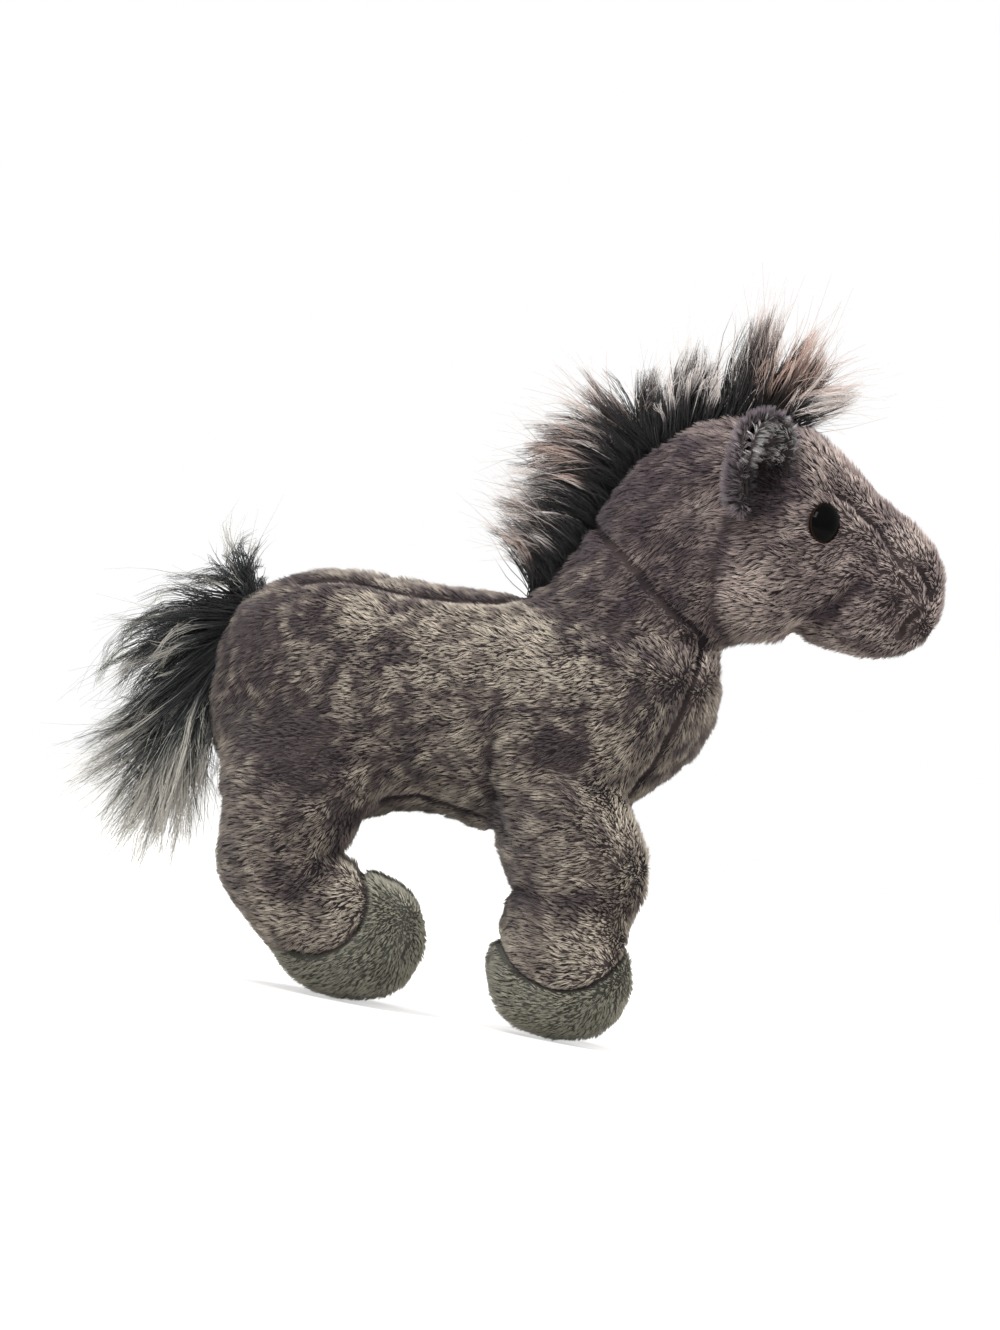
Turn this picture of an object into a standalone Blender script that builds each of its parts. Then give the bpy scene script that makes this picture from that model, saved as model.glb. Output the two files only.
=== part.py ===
"""A standing plush horse: sewn skin panels round stuffed forms, with legs, neck, head, ears and tail
that flex about their narrow places. Metres, +Z up, nose towards +X, the horse's right side at -Y."""

import math

import bmesh
import bpy
from mathutils import Matrix, Vector
from mathutils.bvhtree import BVHTree

# Trunk
TORSO_LENGTH = 0.1508
TORSO_HEIGHT = 0.078
TORSO_HALF_WIDTH = 0.039
BELLY_HEIGHT = 0.054

# Legs, with the round top of each leg turning about a cross axis
LEG_JOINT_RADIUS = 0.024
HIP_RISE = 0.006
SHOULDER_RISE = 0.010
LEG_INNER_Y = 0.001
LEG_TUCK = 0.0005
HOOF_LENGTH = 0.045
HOOF_HEIGHT = 0.040
HOOF_WIDTH = 0.035
FORE_HOOF_FORWARD = 0.0075
HIND_HOOF_FORWARD = 0.026
SOLE_CUT = 0.0005

# Neck and head
NECK_JOINT_RADIUS = 0.028
HEAD_REACH = 0.0927
HEAD_RISE = 0.063
HEAD_HALF_WIDTH = 0.027

# Eyes
EYE_RADIUS = 0.006
EYE_RIM = 0.0009
EYE_DOME = 0.0042
EYE_SINK = 0.001
SHANK_RADIUS = 0.0021
SHANK_LENGTH = 0.009
SHANK_BARB = 0.0004
WASHER_RADIUS = 0.0058
WASHER_THICKNESS = 0.0012
EYE_WEB = 0.0014

# Ears
EAR_HEIGHT = 0.029
EAR_HALF_WIDTH = 0.0118
EAR_CUP = 0.0055
EAR_BACK_THICKNESS = 0.0026
EAR_LINING_THICKNESS = 0.0016
EAR_ROOT_RADIUS = 0.004
EAR_ROOT_PROUD = 0.002

# Hair
MANE_LENGTH = 0.040
MANE_HALF_THICKNESS = 0.0085
HAIR_ROOT_DEPTH = 0.004
TAIL_LENGTH = 0.078
TAIL_HALF_THICKNESS = 0.0095
TAIL_ROOT_RADIUS = 0.006
TAIL_ROOT_PROUD = 0.004
TAIL_ROOT_REACH = 0.003

# Cloth and fits
SKIN_WALL = 0.003
SEAM_GAP = 0.0003
BACK_GUSSET_HALF_WIDTH = 0.016
BELLY_GUSSET_HALF_WIDTH = 0.0135
OVERRUN = 0.020

# Facets
SMOOTH_SIDES = 18
LEG_SIDES = 12
INNER_SIDES = 12
LEG_INNER_SIDES = 10
INNER_RING_STEPS = 2
HOOF_LEVELS = 6
HOOF_INNER_LEVELS = 5
ARC_STEPS = 12
BEAD_SIDES = 12
SHANK_BARBS = 3
DOME_STEPS = 4
BALL_STEPS = 6
EAR_ROWS = 6
EAR_COLUMNS = 5
SHARP_DEGREES = 40

# Trunk rings from rump to chest: length share, top and bottom as shares of height, width share
TORSO_RING_SHARES = (
    (0.007, 0.577, 0.333, 0.28),
    (0.022, 0.705, 0.218, 0.51),
    (0.048, 0.790, 0.115, 0.69),
    (0.095, 0.845, 0.040, 0.85),
    (0.160, 0.907, 0.005, 0.95),
    (0.247, 0.935, 0.000, 0.985),
    (0.340, 0.936, 0.020, 0.985),
    (0.413, 0.933, 0.072, 0.975),
    (0.500, 0.945, 0.080, 0.975),
    (0.579, 0.964, 0.050, 0.99),
    (0.658, 0.987, 0.040, 1.0),
    (0.738, 1.000, 0.077, 1.0),
    (0.818, 1.000, 0.167, 0.96),
    (0.884, 0.974, 0.288, 0.87),
    (0.937, 0.917, 0.391, 0.72),
    (0.970, 0.840, 0.487, 0.51),
    (0.990, 0.763, 0.603, 0.295),
)
TORSO_REAR_POLE_SHARE = (0.0, 0.46)
TORSO_FRONT_POLE_SHARE = (1.0, 0.686)

# Places along the trunk, as shares of its length: how far it reaches behind the origin it is drawn
# from, the joints, and the level of the tail's root and the back seam as shares of its height
REAR_REACH_SHARE = 0.579
TAIL_HEIGHT_SHARE = 0.692
BACK_SEAM_LOW_SHARE = 0.6
HIP_SHARE = 0.194
SHOULDER_SHARE = 0.738
NECK_SHARE = 0.7845
NECK_HEIGHT_SHARE = 1.013

# Leg rings from the round top to the pastern: height share of the joint's height,
# rear and front as shares of the joint's radius, width share
FORE_LEG_SHARES = (
    (1.250, -0.625, 0.625, 0.80),
    (1.125, -0.875, 0.790, 0.98),
    (1.000, -0.915, 1.060, 1.00),
    (0.890, -0.855, 1.200, 0.98),
    (0.780, -0.690, 1.210, 0.95),
    (0.670, -0.510, 1.137, 0.90),
    (0.562, -0.540, 1.083, 0.90),
    (0.437, -0.560, 1.020, 0.92),
    (0.312, -0.396, 0.937, 0.88),
    (0.220, -0.167, 0.708, 0.70),
)
FORE_LEG_POLE_SHARES = ((1.33, 0.0), (0.156, 0.27))
HIND_LEG_SHARES = (
    (1.267, -0.583, 0.583, 0.80),
    (1.133, -0.875, 0.854, 0.98),
    (1.000, -0.917, 0.937, 1.00),
    (0.867, -0.812, 0.900, 0.97),
    (0.767, -0.762, 0.867, 0.93),
    (0.667, -0.790, 0.854, 0.90),
    (0.567, -0.762, 0.896, 0.90),
    (0.467, -0.646, 1.000, 0.92),
    (0.350, -0.333, 1.040, 0.90),
    (0.233, 0.020, 0.958, 0.75),
)
HIND_LEG_POLE_SHARES = ((1.34, 0.0), (0.142, 0.50))

# The seam between leg and hoof is an arc: centre from the hoof's centre as a share of its length,
# height share, radius share of its length, and the arc's start and end in degrees
FORE_SEAM_SHARES = (-0.033, 0.90, 0.456)
FORE_SEAM_ARC = (0, -180)
HIND_SEAM_SHARES = (-0.289, 0.7125, 0.367)
HIND_SEAM_ARC = (50, -100)

# Neck and head rings from the shoulders to the nose, seen from the neck joint: crest point, throat
# point, each as shares of reach and rise, then the width share
HEAD_RING_SHARES = (
    (-0.205, -0.190, 0.205, -0.300, 0.74),
    (-0.299, -0.040, 0.286, -0.119, 0.97),
    (-0.237, 0.111, 0.307, -0.108, 0.93),
    (-0.183, 0.286, 0.317, -0.105, 0.907),
    (-0.135, 0.492, 0.326, -0.100, 0.907),
    (-0.054, 0.698, 0.337, -0.097, 0.926),
    (0.097, 0.905, 0.356, -0.095, 0.963),
    (0.248, 0.989, 0.399, -0.089, 1.0),
    (0.399, 1.000, 0.469, -0.060, 0.99),
    (0.518, 0.944, 0.539, -0.021, 0.925),
    (0.626, 0.841, 0.626, -0.032, 0.77),
    (0.723, 0.730, 0.723, -0.051, 0.66),
    (0.809, 0.643, 0.809, -0.051, 0.604),
    (0.885, 0.579, 0.885, -0.016, 0.555),
    (0.944, 0.492, 0.944, 0.048, 0.444),
    (0.982, 0.373, 0.982, 0.143, 0.278),
)
HEAD_REAR_POLE_SHARE = (0.0, -0.33)
HEAD_NOSE_POLE_SHARE = (1.0, 0.254)
HEAD_SEAM_RING = 6

# Gusset seams: trunk shares, then head shares
BACK_GUSSET_SHARES = (
    (0.02, 0.35),
    (0.12, 0.75),
    (0.25, 0.95),
    (0.40, 1.0),
    (0.52, 0.85),
    (0.62, 0.55),
)
BELLY_GUSSET_TOP_SHARE = 0.25
CHEST_SEAM_SHARES = (
    (0.940, 0.97),
    (0.937, 0.82),
    (0.930, 0.69),
    (0.910, 0.54),
    (0.884, 0.385),
    (0.850, 0.22),
)
FACE_SEAM_SHARES = (
    (0.415, 1.08),
    (0.485, 0.937),
    (0.540, 0.794),
    (0.610, 0.675),
    (0.669, 0.619),
    (0.734, 0.563),
    (0.798, 0.429),
    (0.874, 0.333),
    (0.939, 0.222),
    (1.050, 0.140),
)

# Eye and ear places on the head, and their angles in degrees
EYE_SHARE = (0.499, 0.530)
EYE_YAW = 22
EYE_PITCH = 6
EAR_SHARE = (0.325, 0.565)
EAR_PITCH = 14
EAR_YAW = 40
EAR_LEAN = 8
EAR_WIDTH_SHARES = (
    (0.0, 0.46),
    (0.16, 0.70),
    (0.34, 0.91),
    (0.52, 1.0),
    (0.70, 0.94),
    (0.86, 0.72),
    (1.0, 0.30),
)

# Locks of hair: place along the crest in rings, length share, direction in degrees
MANE_LOCK_SHARES = (
    (1.45, 0.350, 148),
    (1.90, 0.600, 160),
    (2.30, 0.520, 156),
    (2.75, 0.900, 160),
    (3.20, 0.680, 155),
    (3.60, 0.900, 150),
    (4.00, 0.680, 149),
    (4.40, 0.950, 145),
    (4.80, 0.680, 138),
    (5.10, 0.825, 136),
    (5.40, 0.500, 134),
    (5.68, 0.750, 128),
    (5.88, 0.600, 121),
)
FORELOCK_SHARES = (
    (6.12, 0.500, 119),
    (6.35, 0.650, 112),
    (6.60, 0.400, 101),
    (6.90, 0.775, 95),
    (7.15, 0.925, 92),
    (7.40, 0.500, 85),
    (7.70, 0.950, 76),
    (8.00, 0.700, 68),
    (8.30, 0.750, 50),
    (8.60, 0.400, 36),
)
TAIL_LOCK_SHARES = (
    (121, 0.205),
    (158, 0.290),
    (190, 0.385),
    (203, 0.460),
    (213, 0.430),
    (220, 0.630),
    (227, 0.560),
    (234, 0.850),
    (245, 0.740),
    (255, 0.995),
    (260, 0.900),
    (266, 0.850),
    (271, 0.795),
)
LOCK_THICKNESS_SHARES = ((0.0, 0.85), (0.22, 1.0), (0.50, 0.82), (0.78, 0.48), (1.0, 0.10))
LOCK_VALLEY_SHARE = 0.72
LOCK_EDGE_SHARE = 0.40

# How square a ring is, and how far from a pole an inner form's first ring stays, in wall thicknesses
PLUSH_EXPONENT = 2.3
HOOF_EXPONENT = 2.5
POLE_CLEARANCE_SHARE = 2.2

# The linings are smaller than the backs of the ears
LINING_TOP_SHARE = 0.94
LINING_WIDTH_SHARE = 0.86

# Linear colours of the materials
PLUSH_COLOR = (0.15, 0.125, 0.12)
PLUSH_DARK_COLOR = (0.115, 0.095, 0.093)
HOOF_COLOR = (0.115, 0.12, 0.10)
LINING_COLOR = (0.155, 0.16, 0.145)
STUFFING_COLOR = (0.80, 0.79, 0.76)
EYE_COLOR = (0.012, 0.010, 0.010)
WASHER_COLOR = (0.70, 0.70, 0.68)
HAIR_COLOR = (0.045, 0.045, 0.050)
PILE_ROUGHNESS = 0.95
STUFFING_ROUGHNESS = 1.0
HAIR_ROUGHNESS = 0.75
EYE_ROUGHNESS = 0.12
WASHER_ROUGHNESS = 0.5

TORSO_REAR_X = -TORSO_LENGTH * REAR_REACH_SHARE
LEG_WIDTH = TORSO_HALF_WIDTH - LEG_INNER_Y - LEG_TUCK
HIP_HEIGHT = BELLY_HEIGHT + HIP_RISE
SHOULDER_HEIGHT = BELLY_HEIGHT + SHOULDER_RISE


def torso_point(length_share, height_share):
    x = TORSO_REAR_X + TORSO_LENGTH * length_share
    return Vector((x, 0, BELLY_HEIGHT + TORSO_HEIGHT * height_share))


HIP = Vector((TORSO_REAR_X + TORSO_LENGTH * HIP_SHARE, 0, HIP_HEIGHT))
SHOULDER = Vector((TORSO_REAR_X + TORSO_LENGTH * SHOULDER_SHARE, 0, SHOULDER_HEIGHT))
NECK = torso_point(NECK_SHARE, NECK_HEIGHT_SHARE)


def head_point(reach_share, rise_share):
    return NECK + Vector((HEAD_REACH * reach_share, 0, HEAD_RISE * rise_share))


# Scene helpers


def clear_scene():
    for obj in list(bpy.data.objects):
        bpy.data.objects.remove(obj, do_unlink=True)


def new_object(name, bm):
    bmesh.ops.recalc_face_normals(bm, faces=bm.faces)
    mesh = bpy.data.meshes.new(name)
    bm.to_mesh(mesh)
    bm.free()
    obj = bpy.data.objects.new(name, mesh)
    bpy.context.scene.collection.objects.link(obj)
    return obj


def plain_material(name, color, roughness):
    mat = bpy.data.materials.new(name)
    mat.use_nodes = True
    shader = mat.node_tree.nodes["Principled BSDF"]
    shader.inputs["Base Color"].default_value = (*color, 1.0)
    shader.inputs["Roughness"].default_value = roughness
    shader.inputs["Metallic"].default_value = 0.0
    return mat


def evaluated_mesh(obj):
    bpy.context.view_layer.update()
    graph = bpy.context.evaluated_depsgraph_get()
    return bpy.data.meshes.new_from_object(obj.evaluated_get(graph))


def combine(obj, tool, operation):
    """Apply one exact Boolean at once, so that the next step can build on its result."""
    mod = obj.modifiers.new("step", "BOOLEAN")
    mod.operation = operation
    mod.solver = "EXACT"
    mod.object = tool
    mesh = evaluated_mesh(obj)
    obj.modifiers.clear()
    obj.data = mesh
    return obj


def cut(obj, *tools):
    for tool in tools:
        combine(obj, tool, "DIFFERENCE")
    return obj


def join(obj, *tools):
    for tool in tools:
        combine(obj, tool, "UNION")
    return obj


def keep(obj, *tools):
    for tool in tools:
        combine(obj, tool, "INTERSECT")
    return obj


def copy_of(obj, name):
    twin = bpy.data.objects.new(name, obj.data.copy())
    twin.matrix_world = obj.matrix_world.copy()
    bpy.context.scene.collection.objects.link(twin)
    return twin


def mirrored(obj, name):
    """A copy on the other side of the plane y = 0."""
    twin = copy_of(obj, name)
    twin.data.transform(Matrix.Diagonal((1, -1, 1, 1)))
    twin.data.flip_normals()
    return twin


def signed_power(value, power):
    return math.copysign(abs(value) ** power, value)


# Form helpers


def loft(name, rings, poles, sides, inset=0.0, exponent=PLUSH_EXPONENT):
    """A closed swelling form through rings of (crest, throat, half width, centre y), shrunk by an inset.
    Rings nearer to a pole than the inset allows are left out, so the wall never gets thinner there."""
    first, last = (Vector(p) for p in poles)
    near = POLE_CLEARANCE_SHARE * SKIN_WALL if inset > 0 else 0
    middles = [(Vector(a) + Vector(b)) / 2 for a, b, _, _ in rings]
    rings = [
        ring
        for ring, mid in zip(rings, middles)
        if (mid - first).length > near and (mid - last).length > near
    ]
    bm = bmesh.new()
    loops = []
    for crest, throat, half_width, centre_y in rings:
        middle = (Vector(crest) + Vector(throat)) / 2
        up = (Vector(crest) - Vector(throat)) / 2
        height = up.length - inset
        width = half_width - inset
        up.normalize()
        loop = []
        for k in range(sides):
            turn = 2 * math.pi * k / sides
            rise = signed_power(math.cos(turn), 2 / exponent) * height
            side = signed_power(math.sin(turn), 2 / exponent) * width
            loop.append(bm.verts.new(middle + up * rise + Vector((0, centre_y + side, 0))))
        loops.append(loop)
    # Every facet is split alike in every form, mirrored from left to right, so inner forms nest
    for a, b in zip(loops, loops[1:]):
        for k in range(sides):
            j = (k + 1) % sides
            if 2 * k < sides:
                bm.faces.new((a[k], a[j], b[j]))
                bm.faces.new((a[k], b[j], b[k]))
            else:
                bm.faces.new((a[k], a[j], b[k]))
                bm.faces.new((a[j], b[j], b[k]))
    for pole, loop in ((first, loops[0]), (last, loops[-1])):
        centre = sum((v.co for v in loop), Vector()) / sides
        tip = bm.verts.new(pole + (centre - pole).normalized() * inset)
        for k in range(sides):
            bm.faces.new((tip, loop[k], loop[(k + 1) % sides]))
    return new_object(name, bm)


def sparse(rings, inset):
    """An inner form is smooth enough with fewer rings."""
    return rings[::INNER_RING_STEPS] if inset > 0 else rings


def prism(name, outline, low, high, axis="Y"):
    """A flat outline carried through from low to high, across Y or up Z."""
    bm = bmesh.new()

    def place(point, level):
        if axis == "Y":
            return Vector((point[0], level, point[1]))
        return Vector((point[0], point[1], level))

    near = [bm.verts.new(place(p, low)) for p in outline]
    far = [bm.verts.new(place(p, high)) for p in outline]
    bm.faces.new(near)
    bm.faces.new(far)
    for k in range(len(outline)):
        j = (k + 1) % len(outline)
        bm.faces.new((near[k], near[j], far[j], far[k]))
    return new_object(name, bm)


def arc(centre, radius, start, end, steps=ARC_STEPS):
    points = []
    for k in range(steps + 1):
        angle = math.radians(start + (end - start) * k / steps)
        points.append((centre.x + radius * math.cos(angle), centre.z + radius * math.sin(angle)))
    return points


def cross_disc(name, centre, radius, half_width=TORSO_HALF_WIDTH + OVERRUN):
    """A round bar across the horse, about a joint's axis."""
    outline = arc(centre, radius, 0, 360 - 180 / ARC_STEPS, 2 * ARC_STEPS - 1)
    return prism(name, outline, -half_width, half_width)


def well_radius(radius):
    """A faceted well clears a bar of the given radius at every turn when its flats stand a gap away."""
    return (radius + SEAM_GAP) / math.cos(math.pi / (2 * ARC_STEPS))


def half_space(name, low_y):
    """Everything on the left side from a given y."""
    reach = TORSO_LENGTH + HEAD_REACH + OVERRUN
    top = BELLY_HEIGHT + TORSO_HEIGHT + HEAD_RISE + MANE_LENGTH + OVERRUN
    outline = ((-reach, -OVERRUN), (reach, -OVERRUN), (reach, top), (-reach, top))
    return prism(name, outline, low_y, TORSO_HALF_WIDTH + OVERRUN)


def turned(name, profile, sides):
    """A closed solid turned about its own Z from a profile of (radius, z) that starts and ends on Z."""
    bm = bmesh.new()
    start = bm.verts.new((0, 0, profile[0][1]))
    end = bm.verts.new((0, 0, profile[-1][1]))
    loops = []
    for radius, z in profile[1:-1]:
        loop = []
        for k in range(sides):
            turn = 2 * math.pi * k / sides
            loop.append(bm.verts.new((radius * math.cos(turn), radius * math.sin(turn), z)))
        loops.append(loop)
    for a, b in zip(loops, loops[1:]):
        for k in range(sides):
            j = (k + 1) % sides
            bm.faces.new((a[k], a[j], b[j], b[k]))
    for k in range(sides):
        j = (k + 1) % sides
        bm.faces.new((start, loops[0][j], loops[0][k]))
        bm.faces.new((end, loops[-1][k], loops[-1][j]))
    return new_object(name, bm)


def grid_slab(name, near_rows, far_rows):
    """A closed slab between two grids of points with the same rows and columns."""
    bm = bmesh.new()
    near = [[bm.verts.new(p) for p in row] for row in near_rows]
    far = [[bm.verts.new(p) for p in row] for row in far_rows]
    rows, columns = len(near), len(near[0])
    for i in range(rows - 1):
        for j in range(columns - 1):
            bm.faces.new((near[i][j], near[i][j + 1], near[i + 1][j + 1], near[i + 1][j]))
            bm.faces.new((far[i][j], far[i + 1][j], far[i + 1][j + 1], far[i][j + 1]))
    rim = [(0, j) for j in range(columns - 1)]
    rim += [(i, columns - 1) for i in range(rows - 1)]
    rim += [(rows - 1, j) for j in range(columns - 1, 0, -1)]
    rim += [(i, 0) for i in range(rows - 1, 0, -1)]
    for (a, b), (c, d) in zip(rim, rim[1:] + rim[:1]):
        bm.faces.new((near[a][b], near[c][d], far[c][d], far[a][b]))
    return new_object(name, bm)


def locks(name, columns, half_thickness):
    """Clumped hair as one solid: columns of (root, tip), thick at the root and thin at the tip.
    Every other column is a valley between two locks."""
    left, right = [], []
    for share, thickness_share in LOCK_THICKNESS_SHARES:
        left_row, right_row = [], []
        for k, (root, tip) in enumerate(columns):
            edge = k in (0, len(columns) - 1)
            fullness = LOCK_EDGE_SHARE if edge else (1.0 if k % 2 else LOCK_VALLEY_SHARE)
            side = Vector((0, half_thickness * thickness_share * fullness, 0))
            point = root.lerp(tip, share)
            left_row.append(point + side)
            right_row.append(point - side)
        left.append(left_row)
        right.append(right_row)
    return grid_slab(name, left, right)


# Trunk


def torso_form(name, inset=0.0, sides=SMOOTH_SIDES):
    rings = []
    for along, top, bottom, width in TORSO_RING_SHARES:
        half_width = TORSO_HALF_WIDTH * width
        rings.append((torso_point(along, top), torso_point(along, bottom), half_width, 0.0))
    poles = (torso_point(*TORSO_REAR_POLE_SHARE), torso_point(*TORSO_FRONT_POLE_SHARE))
    return loft(name, sparse(rings, inset), poles, sides, inset)


def leg_well(name, joint, radius):
    """The room for a leg's round top: a half disc over a straight strip down past the belly."""
    outline = arc(joint, radius, 0, 180)
    outline += [(joint.x - radius, -OVERRUN), (joint.x + radius, -OVERRUN)]
    width = TORSO_HALF_WIDTH + OVERRUN
    return prism(name, outline, -width, width)


def back_zone(name, grow):
    """A long leaf in plan, over the spine from the tail to the mane."""
    sides = [(torso_point(x, 0).x, BACK_GUSSET_HALF_WIDTH * y + grow) for x, y in BACK_GUSSET_SHARES]
    outline = sides + [(x, -y) for x, y in reversed(sides)]
    low = torso_point(0, BACK_SEAM_LOW_SHARE).z
    return prism(name, outline, low - grow, low + TORSO_HEIGHT, axis="Z")


def belly_zone(name, grow):
    half = BELLY_GUSSET_HALF_WIDTH + grow
    top = torso_point(0, BELLY_GUSSET_TOP_SHARE).z + grow
    outline = ((HIP.x, -OVERRUN), (SHOULDER.x, -OVERRUN), (SHOULDER.x, top), (HIP.x, top))
    return prism(name, outline, -half, half)


def chest_zone(name, grow):
    seam = [torso_point(x, z) for x, z in CHEST_SEAM_SHARES]
    outline = [(p.x - grow, p.z) for p in seam]
    front = torso_point(1, 0).x + OVERRUN
    outline += [(front, outline[-1][1] - OVERRUN), (front, outline[0][1] + OVERRUN)]
    outline.insert(0, (outline[0][0], outline[0][1] + OVERRUN))
    width = TORSO_HALF_WIDTH + OVERRUN
    return prism(name, outline, -width, width)


# Legs


def leg_column(name, joint, shares, poles, inset, sides):
    centre_y = LEG_INNER_Y + LEG_WIDTH / 2
    rings = []
    for height, rear, front, width in shares:
        z = joint.z * height
        crest = Vector((joint.x + LEG_JOINT_RADIUS * front, 0, z))
        throat = Vector((joint.x + LEG_JOINT_RADIUS * rear, 0, z))
        rings.append((crest, throat, LEG_WIDTH * width / 2, centre_y))
    ends = []
    for height, forward in poles:
        ends.append((joint.x + LEG_JOINT_RADIUS * forward, centre_y, joint.z * height))
    return centred_loft(name, sparse(rings, inset), ends, sides, inset)


def centred_loft(name, rings, ends, sides, inset):
    """A loft whose rings stand beside the middle plane, closed at points beside it too."""
    centre_y = rings[0][3]
    flat = [(a, b, width, 0.0) for a, b, width, _ in rings]
    poles = [(x, 0, z) for x, _, z in ends]
    obj = loft(name, flat, poles, sides, inset)
    obj.data.transform(Matrix.Translation((0, centre_y, 0)))
    return obj


def hoof_form(name, centre_x, inset, sides, levels):
    """A rounded cup, wider than it is deep, whose lowest slice is cut away later for the sole."""
    centre_y = LEG_INNER_Y + LEG_WIDTH / 2
    centre_z = HOOF_HEIGHT / 2 - SOLE_CUT
    rings = []
    for k in range(1, levels):
        turn = math.pi * (k / levels - 1 / 2)
        rise = signed_power(math.sin(turn), 2 / HOOF_EXPONENT)
        reach = math.cos(turn) ** (2 / HOOF_EXPONENT)
        z = centre_z + HOOF_HEIGHT / 2 * rise
        front = Vector((centre_x + HOOF_LENGTH / 2 * reach, 0, z))
        rear = Vector((centre_x - HOOF_LENGTH / 2 * reach, 0, z))
        rings.append((front, rear, HOOF_WIDTH / 2 * reach, centre_y))
    ends = [
        (centre_x, centre_y, centre_z - HOOF_HEIGHT / 2),
        (centre_x, centre_y, centre_z + HOOF_HEIGHT / 2),
    ]
    return centred_loft(name, rings, ends, sides, inset)


def leg_form(name, joint, shares, poles, hoof_x, inset, facets, reach):
    """Thigh, shank and hoof of the left side in one form. The thigh's top is the part of the trunk
    that lies in the joint's disc, so that leg and trunk share one surface there."""
    torso_sides, sides, levels = facets
    leg = torso_form(name, inset, torso_sides)
    keep(leg, cross_disc("disc", joint, LEG_JOINT_RADIUS + reach))
    keep(leg, half_space("side", SEAM_GAP + inset))
    join(leg, leg_column("column", joint, shares, poles, inset, sides))
    join(leg, hoof_form("cup", hoof_x, inset, sides, levels))
    return leg


def seam_zone(name, hoof_x, shares, arc_ends, grow):
    """What belongs to the leg and not the hoof: a disc whose arc is the seam, and all above it."""
    forward, height, radius_share = shares
    centre = Vector((hoof_x + HOOF_LENGTH * forward, 0, HOOF_HEIGHT * height))
    curve = arc(centre, HOOF_LENGTH * radius_share + grow, *arc_ends)
    far_right = centre.x + HOOF_LENGTH + OVERRUN
    far_left = centre.x - HOOF_LENGTH - OVERRUN
    top = BELLY_HEIGHT + TORSO_HEIGHT
    outline = [(far_right, curve[0][1])] + curve
    outline += [(far_left, curve[-1][1]), (far_left, top), (far_right, top)]
    width = TORSO_HALF_WIDTH + OVERRUN
    return prism(name, outline, -width, width)


def make_leg(end, joint, shares, poles, forward, seam_shares, seam_arc):
    """Skin sleeve, hoof cup and filling of one left leg."""
    hoof_x = joint.x + forward
    args = (joint, shares, poles, hoof_x)
    fine = (SMOOTH_SIDES, LEG_SIDES, HOOF_LEVELS)
    coarse = (INNER_SIDES, LEG_INNER_SIDES, HOOF_INNER_LEVELS)
    outer = leg_form("leg_outer", *args, 0.0, fine, 0.0)
    hollow = leg_form("leg_hollow", *args, SKIN_WALL, coarse, OVERRUN)
    filling = leg_form(f"leg_filling_{end}", *args, SKIN_WALL + SEAM_GAP, coarse, 0.0)
    reach = TORSO_LENGTH + HEAD_REACH
    below = ((-reach, -HOOF_HEIGHT), (reach, -HOOF_HEIGHT), (reach, 0), (-reach, 0))
    cut(outer, prism("floor", below, -TORSO_HALF_WIDTH - OVERRUN, TORSO_HALF_WIDTH + OVERRUN))
    cut(outer, hollow)
    sleeve = keep(copy_of(outer, f"leg_skin_{end}"), seam_zone("s", hoof_x, seam_shares, seam_arc, 0.0))
    cup = cut(copy_of(outer, f"hoof_{end}"), seam_zone("h", hoof_x, seam_shares, seam_arc, SEAM_GAP))
    return sleeve, cup, filling


# Neck and head


def head_form(name, inset=0.0, sides=SMOOTH_SIDES):
    rings = []
    for ax, az, bx, bz, width in HEAD_RING_SHARES:
        rings.append((head_point(ax, az), head_point(bx, bz), HEAD_HALF_WIDTH * width, 0.0))
    poles = (head_point(*HEAD_REAR_POLE_SHARE), head_point(*HEAD_NOSE_POLE_SHARE))
    return loft(name, rings, poles, sides, inset)


def crest_point(place):
    k = min(int(place), len(HEAD_RING_SHARES) - 2)
    here = head_point(*HEAD_RING_SHARES[k][:2])
    there = head_point(*HEAD_RING_SHARES[k + 1][:2])
    return here.lerp(there, place - k)


SEAM_CREST = head_point(*HEAD_RING_SHARES[HEAD_SEAM_RING][:2])
SEAM_THROAT = head_point(*HEAD_RING_SHARES[HEAD_SEAM_RING][2:4])
SEAM_UP = (SEAM_CREST - SEAM_THROAT).normalized()
SEAM_NORMAL = Vector((SEAM_UP.z, 0, -SEAM_UP.x))
HEAD_JOINT = (SEAM_CREST + SEAM_THROAT) / 2


def head_side(name, back):
    """Everything in front of the seam plane behind the cheeks, less a step back."""
    base = HEAD_JOINT + SEAM_NORMAL * back
    tall = SEAM_UP * (HEAD_RISE + MANE_LENGTH + OVERRUN)
    deep = SEAM_NORMAL * (HEAD_REACH + OVERRUN)
    corners = (base - tall, base - tall + deep, base + tall + deep, base + tall)
    width = HEAD_HALF_WIDTH + EAR_HEIGHT + OVERRUN
    return prism(name, [(c.x, c.z) for c in corners], -width, width)


def neck_root(name, inset, sides, reach):
    """The part of the trunk inside the neck joint's disc."""
    root = torso_form(name, inset, sides)
    return keep(root, cross_disc("disc", NECK, NECK_JOINT_RADIUS + reach))


def face_zone(name, grow):
    seam = [head_point(x, z) for x, z in FACE_SEAM_SHARES]
    outline = [(p.x - grow, p.z - grow) for p in seam]
    top = NECK.z + HEAD_RISE + OVERRUN
    front = NECK.x + HEAD_REACH + OVERRUN
    outline += [(front, outline[-1][1]), (front, top), (outline[0][0], top)]
    width = HEAD_HALF_WIDTH + OVERRUN
    return prism(name, outline, -width, width)


def surface_hit(obj, start, direction):
    """Where a line from inside the form leaves its outermost surface."""
    tree = BVHTree.FromPolygons(
        [v.co for v in obj.data.vertices], [tuple(p.vertices) for p in obj.data.polygons]
    )
    far = HEAD_REACH + OVERRUN
    place, _, _, _ = tree.ray_cast(start + direction * far, -direction)
    return place


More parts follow.
